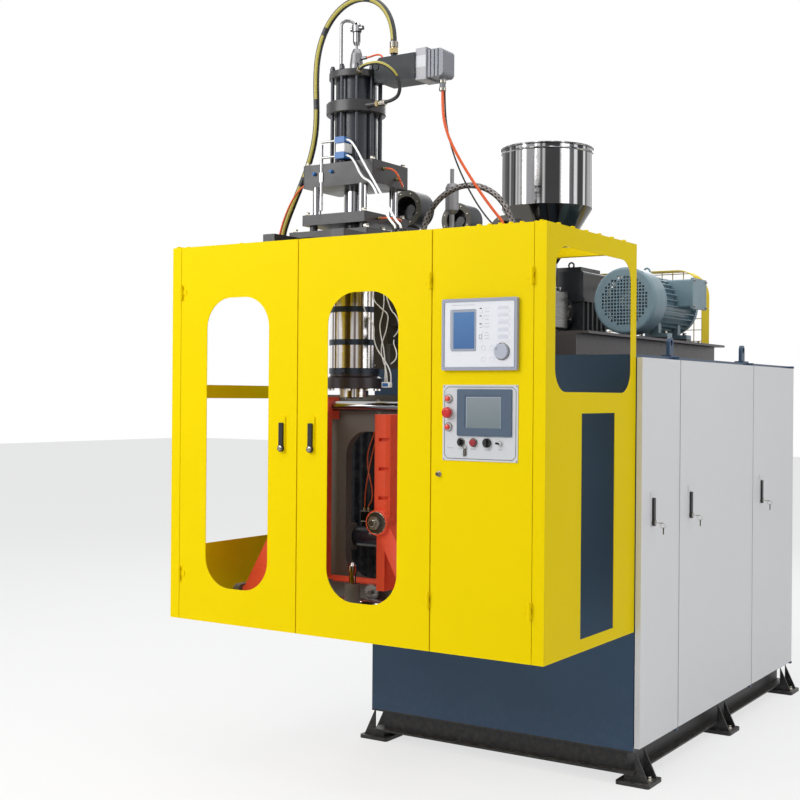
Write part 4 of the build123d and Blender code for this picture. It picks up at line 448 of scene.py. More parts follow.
NODES_OF_FINISH = {
    "skirt_black": "base_frame", "base_blue": "body_shell", "switchgear": "electrical_panel",
    "door_white": "hydraulic_unit cabinet_door_front cabinet_door_middle cabinet_door_rear",
    "guard_yellow": "guard_frame door_left door_centre control_door belt_guard",
    "plate_grey": "head_plate stack_flanges", "cylinder_black": "cylinder_tubes tie_rods clamp_ram",
    "polished_rod": "cylinder_pillars mandrel guide_bars blow_pin", "housing_grey": "rod_housing",
    "swivel_chrome": "air_swivel", "manifold_black": "servo_manifold", "valve_mix": "servo_valve",
    "sensor_mix": "position_sensors", "head_sheet": "die_head", "bed_brown": "extruder_bed",
    "gear_grey": "gearbox cooling_blowers", "turned_steel": "barrel motor_pulley gearbox_pulley sync_pinion",
    "screw_steel": "screw", "polished_sheet": "heater_bands", "hopper_sheet": "hopper",
    "motor_teal": "drive_motor", "belt_rubber": "drive_belts", "clamp_grey": "clamp_frame",
    "platen_enamel": "platen_left platen_right", "sinter": "exhaust_silencer", "console_film": "upper_console",
    "operator_steel": "operator_panel", "slate_plastic": "touch_screen", "knob_grey": "console_knob",
    "signal_red": "emergency_stop", "button_red": "start_button",
    "black_plastic": "selector_left selector_right lever_left lever_centre cabinet_lever_front "
                     "cabinet_lever_middle cabinet_lever_rear",
}


def dress_nodes():
    """Every carried-over solid gets its finish."""
    for look, names in NODES_OF_FINISH.items():
        for name in names.split():
            for slot in nodes[name].material_slots:
                slot.material = finish[look]


# Cords
def spline_curve(name, points):
    """Curve with one NURBS spline of order 3 that starts and ends at the route's own ends."""
    curve = bpy.data.curves.new(name, "CURVE")
    curve.dimensions = "3D"
    spline = curve.splines.new("NURBS")
    spline.points.add(len(points) - 1)
    spline.points.foreach_set("co", np.column_stack([points, np.ones(len(points))]).ravel())
    spline.order_u = 3
    spline.use_endpoint_u = True
    spline.resolution_u = 12
    return curve


def length_of(points):
    """Length of the smooth spline over a route's points."""
    curve = spline_curve("route_probe", points)
    probe = bpy.data.objects.new("route_probe", curve)
    mesh = bpy.data.meshes.new_from_object(probe)
    line = np.empty(len(mesh.vertices) * 3)
    mesh.vertices.foreach_get("co", line)
    bpy.data.objects.remove(probe)
    bpy.data.curves.remove(curve)
    bpy.data.meshes.remove(mesh)
    return float(np.linalg.norm(np.diff(line.reshape(-1, 3), axis=0), axis=1).sum())


def make_cord(name, points, diameter, look, replaced=None, rounds=6):
    """A round cord swept along its route, in place of the CAD's own rigid one where there is one."""
    curve = spline_curve(name, points)
    curve.bevel_depth = diameter / 2
    curve.bevel_resolution = rounds // 2
    curve.use_fill_caps = True
    curve.materials.append(finish[look])
    piece = bpy.data.objects.new(name, curve)
    bpy.context.collection.objects.link(piece)
    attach(piece, "machine")
    if replaced:
        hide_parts(replaced)
    length_of(points)


MAIN_HOSE = route([
    (192, 0, 3056), (192, 0, 3118), (183, -1, 3180), (160, -4, 3236), (120, -8, 3281), (66, -12, 3308),
    (4, -16, 3312), (-56, -18, 3294), (-108, -20, 3257), (-150, -20, 3206), (-180, -20, 3144), (-197, -20, 3074),
    (-202, -20, 2996), (-200, -20, 2912), (-197, -20, 2828), (-203, -20, 2746), (-222, -20, 2666), (-252, -20, 2590),
    (-288, -20, 2518), (-324, -20, 2448), (-356, -20, 2384), (-382, -20, 2316), (-382, -20, 2254)])
LOOP_HOSE = route([
    (82.3, -98.1, 2976.5), (115.7, -137.9, 2976.5), (170, -175, 2976.5), (243, -175, 2976.5),
    (295, -143.7, 2935.2), (295, -99.3, 2876.4), (243, -68, 2835), (149, -68, 2835)])
BRAIDED_HOSE = route([
    (238, 170, 2274), (238, 170, 2318), (259, 170.5, 2384), (300, 171, 2439), (355, 171.5, 2479), (421, 172, 2501),
    (489, 172, 2500), (555, 171.5, 2478), (610, 171, 2438), (651, 170.5, 2384), (672, 170, 2318), (672, 170, 2254)])
AIR_TUBE = route([
    (434, 0, 2868), (434, 0, 2804), (440, 4, 2740), (456, 14, 2678), (480, 28, 2620), (508, 42, 2564),
    (539, 55, 2510), (571, 67, 2458), (604, 79, 2408), (638, 92, 2360), (672, 110, 2314), (672, 110, 2254)])

# Routes of the small cords
AIR_LINES = {
    "swivel": ((52, 0, 3058), (70, 0, 3059), (96, -4, 3062), (122, -10, 3060), (142, -16, 3050), (150, -18, 3031)),
    "left": ((-196, -60, 2530), (-214, -60, 2530), (-252, -58, 2514), (-296, -56, 2474), (-336, -54, 2412),
        (-368, -52, 2340), (-382, -52, 2276), (-382, -52, 2241)),
    "right": ((196, -60, 2560), (214, -60, 2560), (238, -54, 2548), (250, -40, 2520), (244, -10, 2492),
        (226, 26, 2490), (212, 40, 2510), (196, 40, 2530)),
    "low": ((178, -70, 2352), (196, -70, 2352), (222, -62, 2350), (238, -40, 2348), (238, -6, 2346), (222, 20, 2347),
        (196, 30, 2350), (178, 30, 2350)),
}
HEATER_RUNS = (
    ((140, -84, 2254), (140, -84, 2236), (139, -88, 2170), (137, -110, 2090), (137, -134, 2020), (143, -142, 1973),
     (168, -144, 1935), (200, -144, 1898), (196, -144, 1845), (213, -142, 1797), (246, -142, 1760), (280, -146, 1715),
     (290, -150, 1680), (282, -142, 1652)),
    ((164, -70, 2254), (164, -70, 2236), (160, -76, 2170), (158, -96, 2080), (168, -114, 2010), (218, -124, 1970),
     (256, -124, 1944), (252, -124, 1908), (243, -124, 1868), (224, -124, 1826), (222, -126, 1790), (236, -132, 1752),
     (262, -142, 1712), (264, -142, 1664)),
    ((188, -60, 2254), (188, -60, 2236), (192, -66, 2170), (204, -84, 2080), (222, -106, 1990), (222, -118, 1942),
     (214, -128, 1900), (224, -130, 1850), (240, -132, 1800), (250, -138, 1752), (258, -146, 1706),
     (254, -142, 1664)),
    ((186, -96, 2254), (186, -96, 2236), (192, -98, 2170), (216, -106, 2080), (246, -116, 2000), (268, -122, 1958),
     (290, -120, 1940), (300, -110, 1905), (292, -100, 1872), (262, -92, 1852)),
    ((262, -90, 1838), (268, -104, 1822), (284, -114, 1806), (296, -118, 1780), (288, -116, 1752), (266, -120, 1738)),
)
SLOT_RUNS = (
    ((-173, 415, 1448), (-173, 414, 1430), (-171, 380, 1385), (-168, 350, 1335), (-150, 330, 1270), (-129, 322, 1217),
     (-118, 322, 1170), (-124, 328, 1128), (-146, 340, 1106), (-156, 345, 1098), (-156, 345, 1092)),
    ((-150, 415, 1448), (-150, 414, 1430), (-149, 380, 1380), (-151, 350, 1295), (-160, 340, 1220), (-170, 340, 1160),
     (-176, 345, 1110), (-176, 345, 1092)),
    ((-127, 415, 1448), (-127, 414, 1428), (-122, 380, 1390), (-107, 340, 1337), (-86, 322, 1250), (-60, 320, 1130),
     (-36, 320, 1000), (-28, 324, 900), (-36, 340, 830), (-58, 372, 762), (-86, 404, 716), (-92, 415, 702)),
)


def make_hoses():
    make_cord("pressure_hose", MAIN_HOSE, 0.027, "hose_print", "main_hose", 10)
    make_cord("servo_loop_hose", LOOP_HOSE, 0.015, "loop_print", "loop_hose", 10)
    make_cord("woven_hose", BRAIDED_HOSE, 0.025, "hose_braid", "braided_hose", 10)
    make_cord("orange_tube", AIR_TUBE, 0.012, "tube_orange", "air_tube", 10)


# Meshes from grids. Sizes of pieces are in millimetres, the arrays and all places in metres.
def grid_faces(rows, columns, closed=False):
    """Quads over rows of vertices whose columns run round; closed also joins the last row to the first."""
    i, j = np.meshgrid(np.arange(rows if closed else rows - 1), np.arange(columns), indexing="ij")
    i2, j2 = (i + 1) % rows, (j + 1) % columns
    return np.stack([i * columns + j, i * columns + j2, i2 * columns + j2, i2 * columns + j], -1).reshape(-1, 4)


def one_turn(sides):
    return np.arange(sides) * 2 * pi / sides


def turned(profile, sides):
    """Surface of revolution: ring k is radius r_k times (cos t, sin t) at height z_k, t over one turn."""
    radius, height = np.array(profile, float).T / 1000
    t = one_turn(sides)
    grid = np.stack([np.outer(radius, np.cos(t)), np.outer(radius, np.sin(t)),
                     np.repeat(height[:, None], sides, 1)], -1)
    return grid.reshape(-1, 3), grid_faces(len(radius), sides)


def ring_tube(radius, section, sides=28, rounds=10):
    """Torus: (R + r cos v) (cos u, sin u) across, r sin v high, u round the ring and v round its section."""
    u, v = one_turn(sides), one_turn(rounds)
    wide = radius + section * np.cos(v)[None, :]
    grid = np.stack([wide * np.cos(u)[:, None], wide * np.sin(u)[:, None],
                     np.repeat(section * np.sin(v)[None, :], sides, 0)], -1)
    return grid.reshape(-1, 3) / 1000, grid_faces(sides, rounds, True)[:, [0, 3, 2, 1]]


def slab(width, height, corner, thick, edge=0.8, steps=6):
    """Rounded plate in x and y, z from 0 to thick: the outline is four quarter circles, drawn in by edge on top."""
    t = np.linspace(0, pi / 2, steps)
    rows = []
    for inset, z in ((0.0, 0.0), (0.0, thick - edge), (edge, thick)):
        r = max(corner - inset, 0.01)
        w, h = width / 2 - inset - r, height / 2 - inset - r
        outline = np.concatenate([
            np.column_stack([sx * w + r * np.cos(t + turn), sy * h + r * np.sin(t + turn)])
            for sx, sy, turn in ((1, 1, 0), (-1, 1, pi / 2), (-1, -1, pi), (1, -1, 3 * pi / 2))])
        rows.append(np.column_stack([outline, np.full(len(outline), z)]))
    count = len(rows[0])
    rows.append(np.column_stack([np.zeros((count, 2)), np.full(count, thick)]))
    return np.concatenate(rows) / 1000, grid_faces(len(rows), count)


def rod_along(points, radius, sides=10, closed=False):
    """Round bar: at each point of the path a circle of the radius, square to the path's direction there."""
    path = np.array(points, float)
    ahead = np.roll(path, -1, 0) - np.roll(path, 1, 0)
    if not closed:
        ahead[0], ahead[-1] = path[1] - path[0], path[-1] - path[-2]
    ahead /= np.linalg.norm(ahead, axis=1)[:, None]
    side = np.cross(ahead, np.array([0.31, 0.17, 0.93]))
    side /= np.linalg.norm(side, axis=1)[:, None]
    up = np.cross(side, ahead)
    t = one_turn(sides)[None, :, None]
    grid = path[:, None] + radius * (np.cos(t) * side[:, None] + np.sin(t) * up[:, None])
    return grid.reshape(-1, 3), grid_faces(len(path), sides, closed)


def rippled_sheet(left, right, low, high, back, wave, pitch, thick, columns=90, rows=12):
    """Hung sheet: y = back - wave (1 + sin 2 pi x / pitch) (0.55 + 0.45 s), s from 0 at its top to 1 at its hem."""
    x, s = np.meshgrid(np.linspace(left, right, columns), np.linspace(0, 1, rows), indexing="ij")
    y = back - wave * (1 + np.sin(2 * pi * x / pitch)) * (0.55 + 0.45 * s)
    z = high + (low - high) * s
    layers = [np.stack([x, y - shift, z], -1).reshape(-1, 3) for shift in (0.0, thick)]
    count = columns * rows
    i, j = np.meshgrid(np.arange(columns - 1), np.arange(rows - 1), indexing="ij")
    a = (i * rows + j).ravel()
    faces = [np.stack([a, a + rows, a + rows + 1, a + 1], -1)]
    faces.append(faces[0][:, ::-1] + count)
    edge = np.concatenate([np.arange(0, count, rows), np.arange(count - rows, count)[1:],
                           np.arange(rows - 1, count, rows)[::-1][1:], np.arange(0, rows)[::-1][1:]])
    faces.append(np.stack([edge[:-1], edge[:-1] + count, edge[1:] + count, edge[1:]], -1))
    hem = layers[0].reshape(columns, rows, 3)[:, -1]
    return (np.concatenate(layers), np.concatenate(faces)), float(np.linalg.norm(np.diff(hem, axis=0), axis=1).sum())


def joined(*shapes):
    verts, faces, offset = [], [], 0
    for v, f in shapes:
        verts.append(v)
        faces.append(f + offset)
        offset += len(v)
    return np.concatenate(verts), np.concatenate(faces)


def laid(shape, axis, *points):
    """Copies of a shape at the points, its z turned to the axis."""
    verts, faces = shape
    turn = np.array(Vector(axis).to_track_quat("Z", "Y").to_matrix())
    return joined(*[(verts @ turn.T + np.array(point, float), faces) for point in points])


def make_piece(name, shape, look, body="machine", angle=35.0):
    """Puts grid arrays into a mesh at the origin, closes its poles and seams, and shades it smooth below the angle."""
    verts, faces = shape
    mesh = bpy.data.meshes.new(name)
    mesh.from_pydata(verts.tolist(), [], faces.tolist())
    work = bmesh.new()
    work.from_mesh(mesh)
    bmesh.ops.remove_doubles(work, verts=work.verts, dist=1e-6)
    bmesh.ops.dissolve_degenerate(work, edges=work.edges, dist=1e-7)
    bmesh.ops.recalc_face_normals(work, faces=work.faces)
    work.to_mesh(mesh)
    work.free()
    mesh.polygons.foreach_set("use_smooth", np.ones(len(mesh.polygons), bool))
    mesh.set_sharp_from_angle(angle=radians(angle))
    mesh.materials.append(finish[look])
    piece = bpy.data.objects.new(name, mesh)
    bpy.context.collection.objects.link(piece)
    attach(piece, body)
    return piece


# Fasteners that the solids leave out
def hex_head(across, high):
    """Six-sided head with its corners turned down."""
    return turned([(0, 0), (across / 2, 0), (across / 2, high * 0.8), (across * 0.42, high), (0, high)], 6)


def cap_head(radius, high):
    """Round head with a small rounded edge."""
    return turned([(0, 0), (radius, 0), (radius, high * 0.6), (radius * 0.86, high * 0.93), (radius * 0.5, high),
                   (0, high)], 16)


def washer(radius, high=1.5):
    return turned([(0, 0), (radius, 0), (radius, high * 0.7), (radius * 0.96, high), (0, high)], 20)


def bolts(name, across, axis, points):
    """Hexagon bolts, each on its washer."""
    raised = [np.array(point) + 0.0012 * np.array(axis, float) for point in points]
    heads = laid(hex_head(across, across * 0.55), axis, *raised)
    make_piece(name, joined(laid(washer(across * 0.68), axis, *points), heads), "zinc")


def make_fasteners():
    corners = [(sx, sy) for sx in (-1, 1) for sy in (-1, 1)]
    circle = [(cos(radians(22.5 + 45 * i)), sin(radians(22.5 + 45 * i))) for i in range(8)]
    bolts("head_plate_bolts", 26, UP, [at_head(182 * sx, y * sy, 2299) for y in (182, 60) for sx, sy in corners])
    bolts("lower_plate_bolts", 24, UP, [at_head(146 * sx, 146 * sy, 2374) for sx, sy in corners])
    bolts("upper_plate_bolts", 22, UP, [at_head(166 * sx, 116 * sy, 2592) for sx, sy in corners])
    bolts("barrel_head_bolts", 19, FRONT, [(HEAD[0] + 0.071 * c, -1.404, BARREL_Z + 0.071 * s) for c, s in circle])
    bolts("gear_case_bolts", 20, FRONT, [(HEAD[0] + 0.09 * c, 0.44, BARREL_Z + 0.09 * s) for c, s in circle])
    bolts("hopper_foot_bolts", 16, UP, [(HEAD[0] + 0.074 * c, HOPPER_Y + 0.074 * s, 2.202) for c, s in circle])
    bolts("motor_foot_bolts", 22, UP, [(0.09 + 0.125 * sx, y, 1.947) for sx in (-1, 1) for y in (0.349, 0.629)])
    bolts("wiring_box_screws", 12, RIGHT, [(0.324, y, z) for y in (0.475, 0.653) for z in (2.093, 2.231)])
    bolts("clamp_plate_bolts", 24, FRONT, [
        (x, -1.33, z) for x, heights in ((-0.93, (0.655, 1.525, 1.575)), (-0.555, (0.655,)),
                                         (0.018, (0.655, 1.525, 1.575)), (HEAD[0], (1.525, 1.575))) for z in heights])
    bolts("belt_guard_bolts", 16, UP, [(x, y, 1.913) for x in (-0.62, 0.21) for y in (0.86, 0.925)])
    bolts("anchor_bolts", 30, UP, [(sx * 0.687, y, 0.016) for sx in (-1, 1) for y in (-1.015, 0.0, 1.015)])
    rims = [(HEAD[0] + 0.069 * c, y - 0.064, BLOWER_Z + 0.069 * s) for y in BLOWER_Y for c, s in circle]
    make_piece("blower_rim_screws", laid(cap_head(4, 3), FRONT, *rims), "zinc")
    screws = [(x, y) for x in (-1.135, 0.62) for y in (-1.9, -1.88)]
    screws += [(x, -1.88) for x in (-1.10, -0.8, 0.3, 0.59)]
    screws += [(GUARD_RIGHT - 0.012, y) for y in np.arange(-1.8, -1.1, 0.12)]
    screws += [(x, -1.9) for x in (0.36, 0.405, 0.45, 0.495, 0.54)]
    caps = laid(cap_head(9, 8), UP, *[(x, y, GUARD_TOP) for x, y in screws])
    make_piece("guard_cap_screws", caps, "guard_yellow")


def make_locks():
    """Lock barrels on every lever, a key with its ring in each white door and a cam lock on the control door."""
    face = turned([(0, 0), (10.5, 0), (10.5, 1.2), (9, 2), (0, 2)], 24)
    slot = slab(1.2, 7, 0.4, 0.4)
    for body, x in (("left_lever", -0.5425), ("centre_lever", -0.3945)):
        make_piece(f"{body}_barrel", laid(face, FRONT, (x, GUARD_FRONT - 0.0173, GUARD_LOCK_Z)), "zinc", body)
        make_piece(f"{body}_slot", laid(slot, FRONT, (x, GUARD_FRONT - 0.0193, GUARD_LOCK_Z)), "black_plastic", body)
    x, z = CABINET_DOOR_OUT + 0.0173, CABINET_LOCK_Z
    for name, y in (("front", -0.9775), ("middle", -0.5355), ("rear", 0.4915)):
        body = f"{name}_cabinet_lever"
        make_piece(f"{name}_barrel", laid(face, RIGHT, (x, y, z)), "zinc", body)
        blade = rod_along([(x, y, z), (x + 0.008, y, z), (x + 0.018, y, z)], 0.0016, 8)
        bow = laid(ring_tube(8.5, 1.8), UP, (x + 0.026, y, z))
        ring = laid(ring_tube(11, 0.9), (0, 1, 0.25), (x + 0.034, y, z - 0.0105))
        spare = laid(slab(6, 30, 2, 2), (0.2, 1, 0), (x + 0.034, y + 0.003, z - 0.033))
        make_piece(f"{name}_key", joined(blade, bow, ring, spare), "zinc", body)
    lock = turned([(0, 0), (11, 0), (11, 2), (8.5, 4), (8.5, 12), (7, 13.5), (0, 13.5)], 24)
    make_piece("control_door_lock", laid(lock, FRONT, (0.206, GUARD_FRONT, 1.314)), "zinc", "control_guard_door")


# Control door: screens, legends, lamps and rings. Places run from a plate's top left corner, in millimetres.
def on_console(x, down, above=0.0):
    return (CONSOLE_LEFT + x / 1000, GUARD_FRONT - (CONSOLE_DEEP + above), CONSOLE_TOP - down / 1000)


def on_operator(x, down, above=0.0):
    return (CONSOLE_LEFT + x / 1000, GUARD_FRONT - (OPERATOR_DEEP + above), OPERATOR_TOP - down / 1000)


def plates(on, above, sizes, corner=1.2, thick=0.6):
    """Small flat marks: (x, down, width, height) each, in millimetres."""
    return joined(*[laid(slab(w, h, min(corner, w / 2.1, h / 2.1), thick, 0.2), FRONT,
                         on(x, down, above)) for x, down, w, h in sizes])


def edge_line(corners, shares):
    """Points at the given shares of each side of a closed outline."""
    return [np.array(a) + (np.array(b) - np.array(a)) * s
            for a, b in zip(corners, corners[1:] + corners[:1]) for s in shares]


def add_to_door(name, shape, look, angle=35.0):
    make_piece(name, shape, look, "control_guard_door", angle)


def make_console():
    frame_corners = [on_console(x, down, -0.001) for x, down in ((10, 10), (308, 10), (308, 256), (10, 256))]
    rim = edge_line(frame_corners, np.linspace(0.01, 0.99, 12))
    add_to_door("console_rim", rod_along(rim, 0.0022, 8, True), "grey_plastic", 60)
    add_to_door("console_bezel", plates(on_console, -0.0023, [(94, 118, 106, 154)], 4, 2), "grey_plastic")
    add_to_door("console_screen", plates(on_console, -0.0003, [(96, 118, 89, 136)], 1, 0.6),
                screen_face("lcd_blue", (0.05, 0.165, 0.38), (0.028, 0.115, 0.31), 1.79, 1.93))
    rows = (38, 51, 66, 79, 95, 107, 127)
    dark = [(166, down, 9 - index % 2, 4) for index, down in enumerate(rows)]
    dark += [(166 + 5.5 * side, 143, 1.4, 15) for side in (-1, 1)]
    dark += [(166, 143 + 7.5 * side, 11, 1.4) for side in (-1, 1)]
    add_to_door("console_marks", plates(on_console, -0.0021, dark), "black_plastic")
    key_rows = [40 + 26.5 * index for index in range(5)]
    keys = [(260, down, 44, 15) for down in key_rows]
    add_to_door("console_keys", plates(on_console, -0.0021, keys, 7, 0.8), "key_film")
    pale = [(192, down, 16 + 4 * (index % 3), 1.4) for index, down in enumerate((*rows, 138, 150))]
    pale += [(92, 24, 96, 1.4)] + [(260, down, 20, 1.6) for down in key_rows]
    add_to_door("console_legends", plates(on_console, -0.0026, pale), "grey_plastic")
    dots = [on_console(x, down, -0.0018) for x in (178, 214) for down in (184, 226)]
    add_to_door("console_rings", laid(ring_tube(8.5, 0.7, 28, 8), FRONT, *dots), "key_film")
    add_to_door("jog_ring", laid(ring_tube(31, 1.6, 48), FRONT, on_console(256, 198, -0.002)), "zinc")


def make_operator_plate():
    corners = [on_operator(*at) for at in ((22, 8), (296, 8), (310, 22), (310, 261), (296, 275), (22, 275),
                                           (8, 261), (8, 22))]
    add_to_door("operator_line", rod_along(edge_line(corners, (0.0, 0.5)), 0.001, 6, True), "black_plastic", 60)
    add_to_door("operator_screen", plates(on_operator, 0.0036, [(176, 104, 146, 118)], 2, 0.6),
                screen_face("screen_frame", (0.34, 0.39, 0.44), (0.34, 0.39, 0.44), 1.49, 1.61, 0.3))
    add_to_door("operator_window", plates(on_operator, 0.0041, [(176, 104, 142, 114)], 1, 0.4),
                screen_face("screen_grey", (0.2, 0.24, 0.26), (0.15, 0.19, 0.205), 1.5, 1.6))
    dome = turned([(0, 0), (10.5, 0), (10.2, 4), (8, 7.5), (4, 9), (0, 9.4)], 28)
    lamps = [on_operator(26, down, 0.0088) for down in (52, 158)]
    add_to_door("indicator_domes", laid(dome, FRONT, *lamps), "lamp_orange")
    rings = [on_operator(x, down, 0.001) for x, down in ((26, 52), (26, 158), (134, 214), (80, 214), (192, 214))]
    add_to_door("control_rings", laid(ring_tube(15.5, 1.8, 36), FRONT, *rings), "zinc")
    add_to_door("stop_collar", laid(ring_tube(22.5, 2.2, 40), FRONT, on_operator(26, 104, 0.0012)),
                screen_face("collar_pale", (0.7, 0.68, 0.66), (0.7, 0.68, 0.66), 0, 2, 0.3))
    toggle = turned([(0, 0), (9, 0), (9, 4), (6, 7), (3.5, 9), (4.5, 22), (3, 25), (0, 25)], 20)
    add_to_door("small_toggle", laid(toggle, (-0.3, -1, 0.1), on_operator(246, 216)), "black_plastic")
    blade = slab(7.5, 30, 3, 1.6)
    keys = joined(laid(ring_tube(8, 1.2, 24, 8), (0.15, -1, 0), on_operator(97, 232, 0.003)),
                  laid(blade, (0.1, -1, 0), on_operator(94, 252, 0.001)),
                  laid(blade, (0.25, -1, 0), on_operator(101, 250, 0.003)))
    add_to_door("panel_keys", keys, "zinc")
    screws = [on_operator(x, down) for x in (5, 313) for down in (5, 278)]
    add_to_door("operator_screws", laid(cap_head(3, 2), FRONT, *screws), "zinc")
    under = [(80, 236, 22, 1.6), (134, 238, 22, 1.6), (192, 240, 24, 1.6), (246, 238, 20, 1.6), (34, 236, 26, 1.6)]
    add_to_door("operator_legends", plates(on_operator, 0.0002, under), "grey_plastic")


# Hose ends, ports and small fittings
def hose_end(name, point, axis, bore, nut, ferrule):
    """Hexagon nut, neck and crimped ferrule of a hose end, along its first straight run."""
    p, a = np.array(point), np.array(Vector(axis).normalized())
    hexes = laid(turned([(bore, 0), (nut, 0), (nut, nut * 0.9), (bore, nut * 0.9)], 6), axis, p)
    neck = turned([(bore, 0), (nut * 0.74, 0), (nut * 0.74, 6), (bore, 6)], 20)
    make_piece(f"{name}_nut", joined(hexes, laid(neck, axis, p + a * nut * 0.9 / 1000)), "brass")
    grooves = [(bore, 0)]
    for z in (ferrule / 4 * k for k in range(4)):
        grooves += [(nut * 0.82, z + 1), (nut * 0.88, z + ferrule / 16), (nut * 0.88, z + ferrule / 5),
                    (nut * 0.82, z + ferrule / 4.2)]
    grooves += [(bore, ferrule)]
    make_piece(f"{name}_ferrule", laid(turned(grooves, 24), axis, p + a * (nut * 0.9 + 6) / 1000), "zinc")


def make_fittings():
    hose_end("pressure_top", MAIN_HOSE[0], UP, 13.6, 21, 26)
    hose_end("pressure_low", MAIN_HOSE[-1], UP, 13.6, 21, 26)
    hose_end("loop_top", LOOP_HOSE[0], (0.643, -0.766, 0), 7.7, 14, 18)
    hose_end("loop_low", LOOP_HOSE[-1], RIGHT, 7.7, 14, 30)
    hose_end("woven_left", BRAIDED_HOSE[0], UP, 12.7, 20, 24)
    hose_end("woven_right", BRAIDED_HOSE[-1], UP, 12.7, 20, 24)
    plug = turned([(0, 0), (15, 0), (15, 12), (12, 14), (12, 30), (15, 32), (15, 44), (0, 44)], 24)
    make_piece("valve_plug", laid(plug, UP, at_head(434, 0, 2869)), "zinc")
    collet = turned([(0, 0), (8, 0), (8, 6), (6.5, 7.5), (6.5, 12), (5.2, 13), (0, 13)], 20)
    air_ports = route([(-120, -135, 2552), (-30, -135, 2556)])
    make_piece("push_fittings", laid(collet, FRONT, *air_ports), "sensor_blue")
    right_ports = route([(183, -60, 2560), (183, 40, 2530), (165, -70, 2352), (165, 30, 2350)])
    ports = joined(laid(collet, RIGHT, *right_ports), laid(collet, LEFT, at_head(-183, -60, 2530)))
    make_piece("side_fittings", ports, "brass")
    gland = turned([(0, 0), (12, 0), (12, 8), (9, 10), (9, 16), (6, 20), (0, 20)], 16)
    make_piece("lead_glands", laid(gland, UP, *[at_head(x, -352, 2240) for x in (436, 462)]), "black_plastic")
    make_piece("valve_plate", laid(slab(50, 50, 2, 0.6), FRONT, at_head(358, -52, 2990)), "operator_steel")


def make_leads():
    """Sensor leads and the short air lines of the stack."""
    for index, (z, shift) in enumerate(((2618, 0.0), (2684, 26.0))):
        make_cord(f"sensor_lead_{index + 1}", route([
            (44, -135, z), (66, -137, z - 4), (100, -146, z - 40), (150 + shift / 2, -172, z - 108 - shift / 2),
            (236 + shift / 2, -226, 2478), (326 + shift, -292, 2374), (404 + shift, -338, 2292),
            (436 + shift, -352, 2272), (436 + shift, -352, 2258)]), 0.0095, "lead_white")
    for name, points in AIR_LINES.items():
        make_cord(f"{name}_air_line", route(points), 0.008, "tube_orange")
    make_cord("valve_cable", route([
        (436, 14, 2870), (436, 16, 2820), (438, 22, 2750), (446, 34, 2680), (460, 50, 2610), (482, 68, 2540),
        (512, 86, 2468), (548, 102, 2400), (590, 116, 2340), (634, 126, 2296), (664, 132, 2272),
        (672, 134, 2241)]), 0.007, "hose_rubber")


# Parts seen through the doors' windows
def make_curtain():
    """Dark rippled curtain that closes the gap behind the clamp's slot, on a flat rail."""
    top, low, middle, half = 1.5, 0.7, -0.74, 0.14
    shape, width = rippled_sheet(middle - half, middle + half, low, top, GUARD_BACK - 0.0005, 0.0035, 0.045, 0.0012)
    curtain = make_piece("slot_curtain", shape, "curtain_navy", angle=60)
    bar = laid(slab(300, 24, 3, 11), FRONT, (middle, GUARD_BACK, top))
    rail = make_piece("curtain_rail", bar, "terminal_grey")
    screws = [(x, GUARD_BACK - 0.011, top) for x in (-0.87, middle, -0.61)]
    make_piece("curtain_screws", laid(cap_head(5, 3), FRONT, *screws), "zinc")


def make_terminal_plate():
    """Plate that hangs from the head plate and carries the plugs of the head's heater leads."""
    plate = laid(slab(190, 500, 6, 2), FRONT, at_head(215, -30, 1970))
    strips = laid(slab(20, 90, 2, 3), FRONT, *[at_head(x, -27, 2229) for x in (140, 190)])
    make_piece("terminal_plate", joined(plate, strips), "terminal_grey")
    boxes = route([(252, -32, 1925), (252, -32, 1845), (160, -32, 2130)])
    make_piece("terminal_boxes", laid(slab(62, 58, 6, 50, 3), FRONT, *boxes), "black_plastic")
    screws = [at_head(x, -32, z) for x in (130, 300) for z in (1735, 2190)]
    make_piece("terminal_screws", laid(cap_head(4, 3), FRONT, *screws), "zinc")
    plug = turned([(0, 0), (9, 0), (9, 6), (7, 8), (7, 16), (5, 20), (0, 20)], 20)
    plugs = [at_head(x, y, 2274) for x, y in ((140, -84), (164, -70), (188, -60), (186, -96))]
    make_piece("lead_plugs", laid(plug, DOWN, *plugs), "black_plastic")
    junction_x, junction_z = 262, 1652
    joint = laid(slab(40, 22, 4, 20, 3), FRONT, at_head(junction_x, -132, junction_z))
    make_piece("lead_junction", joint, "lead_white")
    cap = laid(slab(26, 14, 2, 4, 1), FRONT, at_head(junction_x, -152, junction_z))
    make_piece("lead_junction_cap", cap, "sensor_blue")
    arm = laid(slab(16, 180, 2, 3), FRONT, at_head(junction_x, -129, 1730))
    brace = laid(slab(16, 100, 2, 3), UP, at_head(junction_x, -80, 1818))
    make_piece("junction_bracket", joined(arm, brace), "terminal_grey")
    for index, run in enumerate(HEATER_RUNS):
        make_cord(f"heater_lead_{index + 1}", route(run), 0.005, "lead_white")


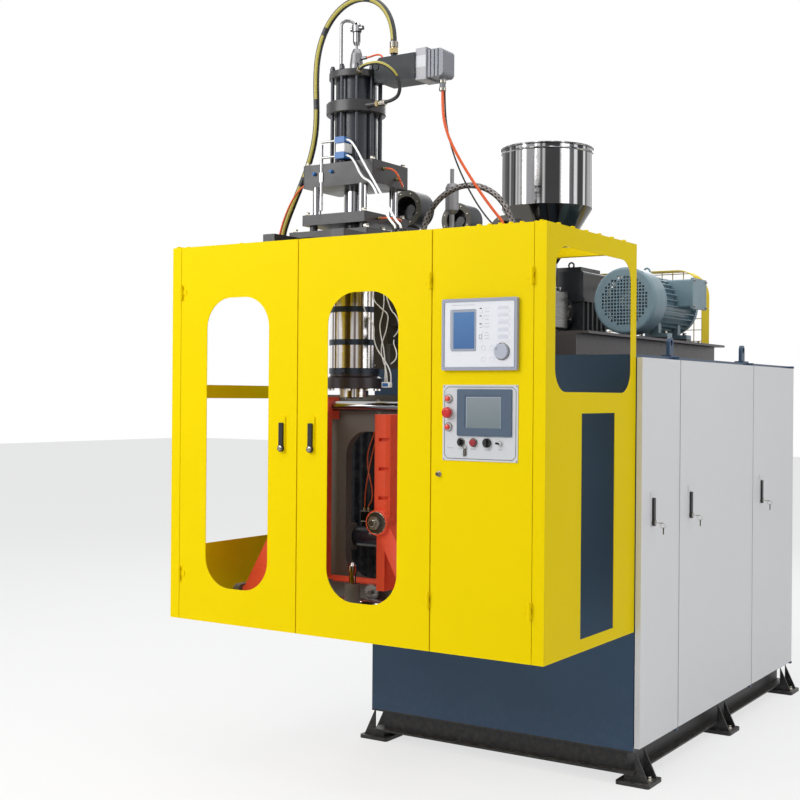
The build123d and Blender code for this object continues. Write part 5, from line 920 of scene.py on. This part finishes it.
def make_slot_tubes():
    """Orange air tubes behind the clamp plate, each from a port strip down to a brass elbow on the base."""
    strip = laid(slab(130, 30, 3, 30, 2), FRONT, at_head(-132, 430, 1478))
    foot = laid(slab(120, 30, 3, 30, 2), FRONT, at_head(-62, 430, 672))
    make_piece("tube_strips", joined(strip, foot), "terminal_grey")
    make_piece("tube_block", laid(slab(50, 50, 4, 100, 3), FRONT, at_head(-166, 430, 1052)), "zinc")
    collet = turned([(0, 0), (7, 0), (7, 8), (5.5, 10), (5.5, 16), (0, 16)], 16)
    tops = [at_head(x, 415, 1463) for x in (-173, -150, -127)]
    feet = route([(-176, 345, 1077), (-156, 345, 1077), (-92, 415, 687)])
    make_piece("tube_collets", joined(laid(collet, DOWN, *tops), laid(collet, UP, *feet)), "brass")
    for index, run in enumerate(SLOT_RUNS):
        make_cord(f"slot_tube_{index + 1}", route(run), 0.006, "tube_orange")


def make_rims():
    """Blower inlet rims, the caps on the platens' bosses, the hopper's bead and the sensors' clamp block."""
    rim = turned([(54, 0), (84, 0), (84, 2), (82, 4), (56, 4), (54, 2), (54, 0)], 48)
    make_piece("blower_rims", laid(rim, FRONT, *[(HEAD[0], y - 0.06, BLOWER_Z) for y in BLOWER_Y]), "rim_olive")
    ring = turned([(27, 0), (46, 0), (46, 3), (44, 4.5), (27, 4.5), (27, 0)], 40)
    stud = turned([(0, 0), (15, 0), (15, 10), (12, 13), (0, 13)], 24)
    cup = turned([(0, 0), (9, 0), (9, 10), (6, 13), (6, 20), (0, 21)], 16)
    for x, body in ((240, "right_platen"), (-240, "left_platen")):
        caps = joined(laid(ring, FRONT, at_head(x, -178, 1086)), laid(stud, FRONT, at_head(x, -200, 1086)),
                      laid(cup, UP, at_head(x, -150, 1138)), laid(cup, (-1, 0, -1), at_head(x - 37, -150, 1049)))
        make_piece(f"{body}_boss_cap", caps, "zinc", body)
    make_piece("hopper_bead", laid(ring_tube(252.5, 4.5, 96), UP, (HEAD[0], HOPPER_Y, 2.94)), "swivel_chrome")
    make_piece("sensor_clamp", laid(slab(46, 40, 4, 58, 3), FRONT, at_head(20, -90, 2651)), "lead_white")


make_camera()
make_studio()
make_lamps()
dress_nodes()
make_hoses()
make_fasteners()
make_locks()
make_console()
make_operator_plate()
make_fittings()
make_leads()
make_curtain()
make_terminal_plate()
make_slot_tubes()
make_rims()
